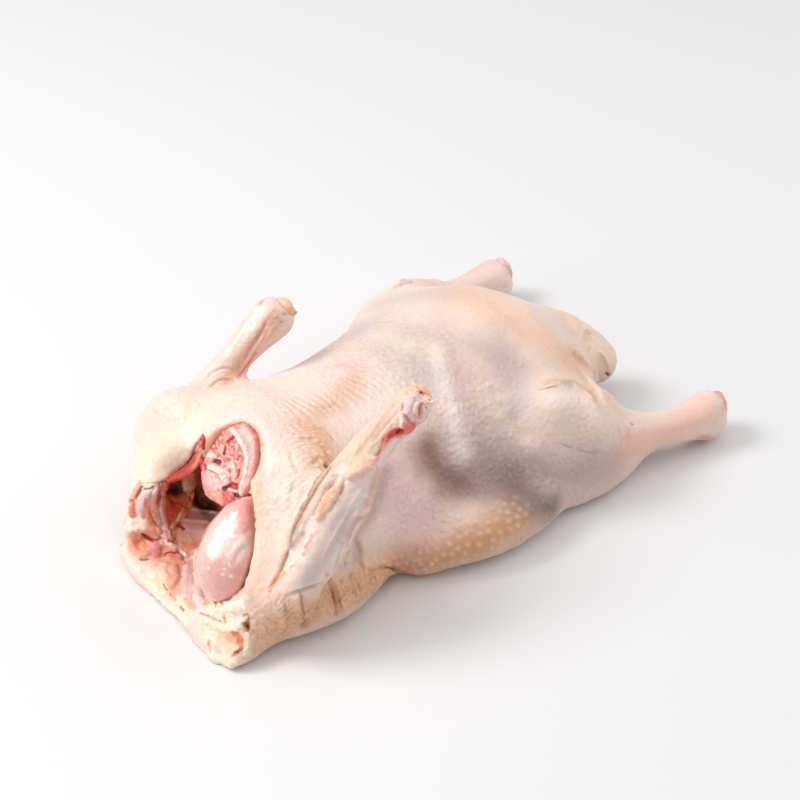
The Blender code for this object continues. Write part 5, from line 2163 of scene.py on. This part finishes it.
def joint_ends(nodes: dict[str, bpy.types.Object], eye: Eye, box: tuple[Vector, Vector]) -> list[JointEnd]:
    """The four cut joints.

    Args:
        nodes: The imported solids.
        eye: Where they are seen from.
        box: What they stay inside.

    Returns:
        The joints, not yet built.
    """
    wing_left = JointEnd(
        nodes, eye, box, "wing_bone_left", "left_wing_joint", GRISTLE, T.MILK,
        uneven=Unevenness(2.6, 0.5, 41),
        lumps=(
            Strand(T.BUTTER, ((414, 394), (410, 401), (408, 408)), (1.6, 2.2, 1.6), (0.8,)),
            Strand(T.SALMON, ((408, 392), (414, 388), (421, 389), (427, 394), (430, 400)),
                   (1.6, 2.2, 2.0, 1.2), (1.2,)),
            Strand(T.FOLD, ((415, 391), (420, 392), (424, 395)), (0.5, 0.7, 0.5), (-0.6,)),
            Strand(T.ORANGE, ((421, 392), (426, 396), (429, 401)), (0.8, 0.9, 0.7), (0.9,)),
            Strand(T.MILK, ((420, 401), (415, 406), (414, 413), (417, 419), (421, 421), (425, 416),
                   (427, 409), (425, 403),
                               (420, 401)), (1.5, 1.6, 1.5), (1.2,)),
            Strand(T.FLESH, ((420, 406), (421, 411), (420, 416)), (1.3, 1.7, 1.3), (-1.2,)),
        ),
    )
    wing_right = JointEnd(
        nodes, eye, box, "wing_bone_right", "right_wing_joint", GRISTLE, T.PEACH,
        relief=(Relief(G, 0.9, 0.9, ((279, 302), (281, 310), (280, 318)), 0.6, T.CORAL),),
        lumps=(
            Strand(T.OCHRE, ((284, 314), (290, 311), (296, 309)), (3.0, 3.6, 2.4), (1.2,)),
            Strand(T.TAN, ((262, 299), (261, 304), (259, 308)), (1.6, 2.0, 1.2), (0.8,)),
            Strand(T.BLUSH, ((279, 308), (282, 316), (280, 324)), (1.2, 1.6, 1.2), (0.4,)),
        ),
        touches=(
            Touch(T.RED, 0.8, 1.1, ((284, 314),)),
            Touch(T.RED, 0.6, 0.8, ((275, 305),)),
            Touch(T.RED, 0.6, 0.7, ((282, 310),)),
        ),
    )
    hock_left = JointEnd(
        nodes, eye, box, "hock_joint_left", "left_hock", JOINT_SKIN, T.ROSE,
        touches=(Touch(T.MEAT, 0.5, 2.4, ((716, 392), (724, 400), (726, 412))),),
    )
    hock_right = JointEnd(nodes, eye, box, "hock_joint_right", "right_hock", JOINT_SKIN, T.ROSE)
    return [wing_left, wing_right, hock_left, hock_right]


@dataclass(frozen=True)
class SoftLight:
    """A broad lamp that faces the duck: its name, its place, how wide it is, and its watts."""

    name: str
    place: Triple
    size: float
    power: float

    def hang(self, target: Triple) -> None:
        """Hangs the lamp.

        Args:
            target: What it faces.
        """
        bpy.ops.object.light_add(type="AREA", location=self.place)
        light = bpy.context.object
        light.name = self.name
        light.data.size = self.size
        light.data.energy = self.power
        light.rotation_mode = "QUATERNION"
        light.rotation_quaternion = (Vector(target) - Vector(self.place)).to_track_quat("-Z", "Y")


@dataclass
class Studio:
    """The pale table, the soft lights and the eye."""

    eye: Eye
    table_size: float = 8.0
    table_colour: tuple[float, ...] = (0.735, 0.73, 0.735, 1.0)
    table_roughness: float = 0.6
    sky_colour: tuple[float, ...] = (1.0, 0.995, 0.99, 1.0)
    sky_strength: float = 0.51
    lights: tuple[SoftLight, ...] = (
        SoftLight("key", (-0.86, -0.92, 1.50), 0.8, 22.9),
        SoftLight("overhead", (0.05, 0.15, 1.90), 1.6, 8.5),
        SoftLight("front light", (-0.35, -1.30, 0.55), 0.5, 2.9),
        SoftLight("fill", (1.1, -1.0, 1.2), 1.6, 1.5),
        SoftLight("tail light", (0.7, 1.3, 1.0), 1.2, 6.2),
    )

    def build(self) -> None:
        """Sets up table, lights and camera."""
        bpy.ops.mesh.primitive_plane_add(size=self.table_size, location=(0.0, 0.0, 0.0))
        table = bpy.context.object
        table.name = "table"
        make = Shading("pale table")
        make.set(make.shader, "Base Color", self.table_colour)
        make.set(make.shader, "Roughness", self.table_roughness)
        table.data.materials.append(make.material)
        table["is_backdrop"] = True
        for light in self.lights:
            light.hang(self.eye.target)
        world = bpy.data.worlds.new("studio")
        world.use_nodes = True
        sky = world.node_tree.nodes["Background"]
        sky.inputs["Color"].default_value = self.sky_colour
        sky.inputs["Strength"].default_value = self.sky_strength
        bpy.context.scene.world = world
        bpy.context.scene.view_settings.view_transform = "Standard"
        self.eye.make_camera()


def report(piece: bpy.types.Object) -> None:
    """Logs a finished piece."""
    LOG.info("%s: %d faces", piece.name, len(piece.data.polygons))


def main() -> None:
    """Builds the duck and its studio."""
    logging.basicConfig(level=logging.INFO, format="%(message)s")
    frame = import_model()
    solids_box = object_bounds()
    choose()
    eye = Eye()
    nodes = frame["nodes"]
    carcass = DuckSkin(nodes, eye, solids_box)
    report(carcass.build())
    joints = joint_ends(nodes, eye, solids_box)
    for part in [CutNeck(nodes, eye), BreastMuscle(nodes, eye), *joints]:
        report(part.build())
    for part in loose_tissue(carcass.surface, joints[0].surface, solids_box):
        report(part.build())
    Studio(eye).build()


if __name__ == "__main__":
    main()
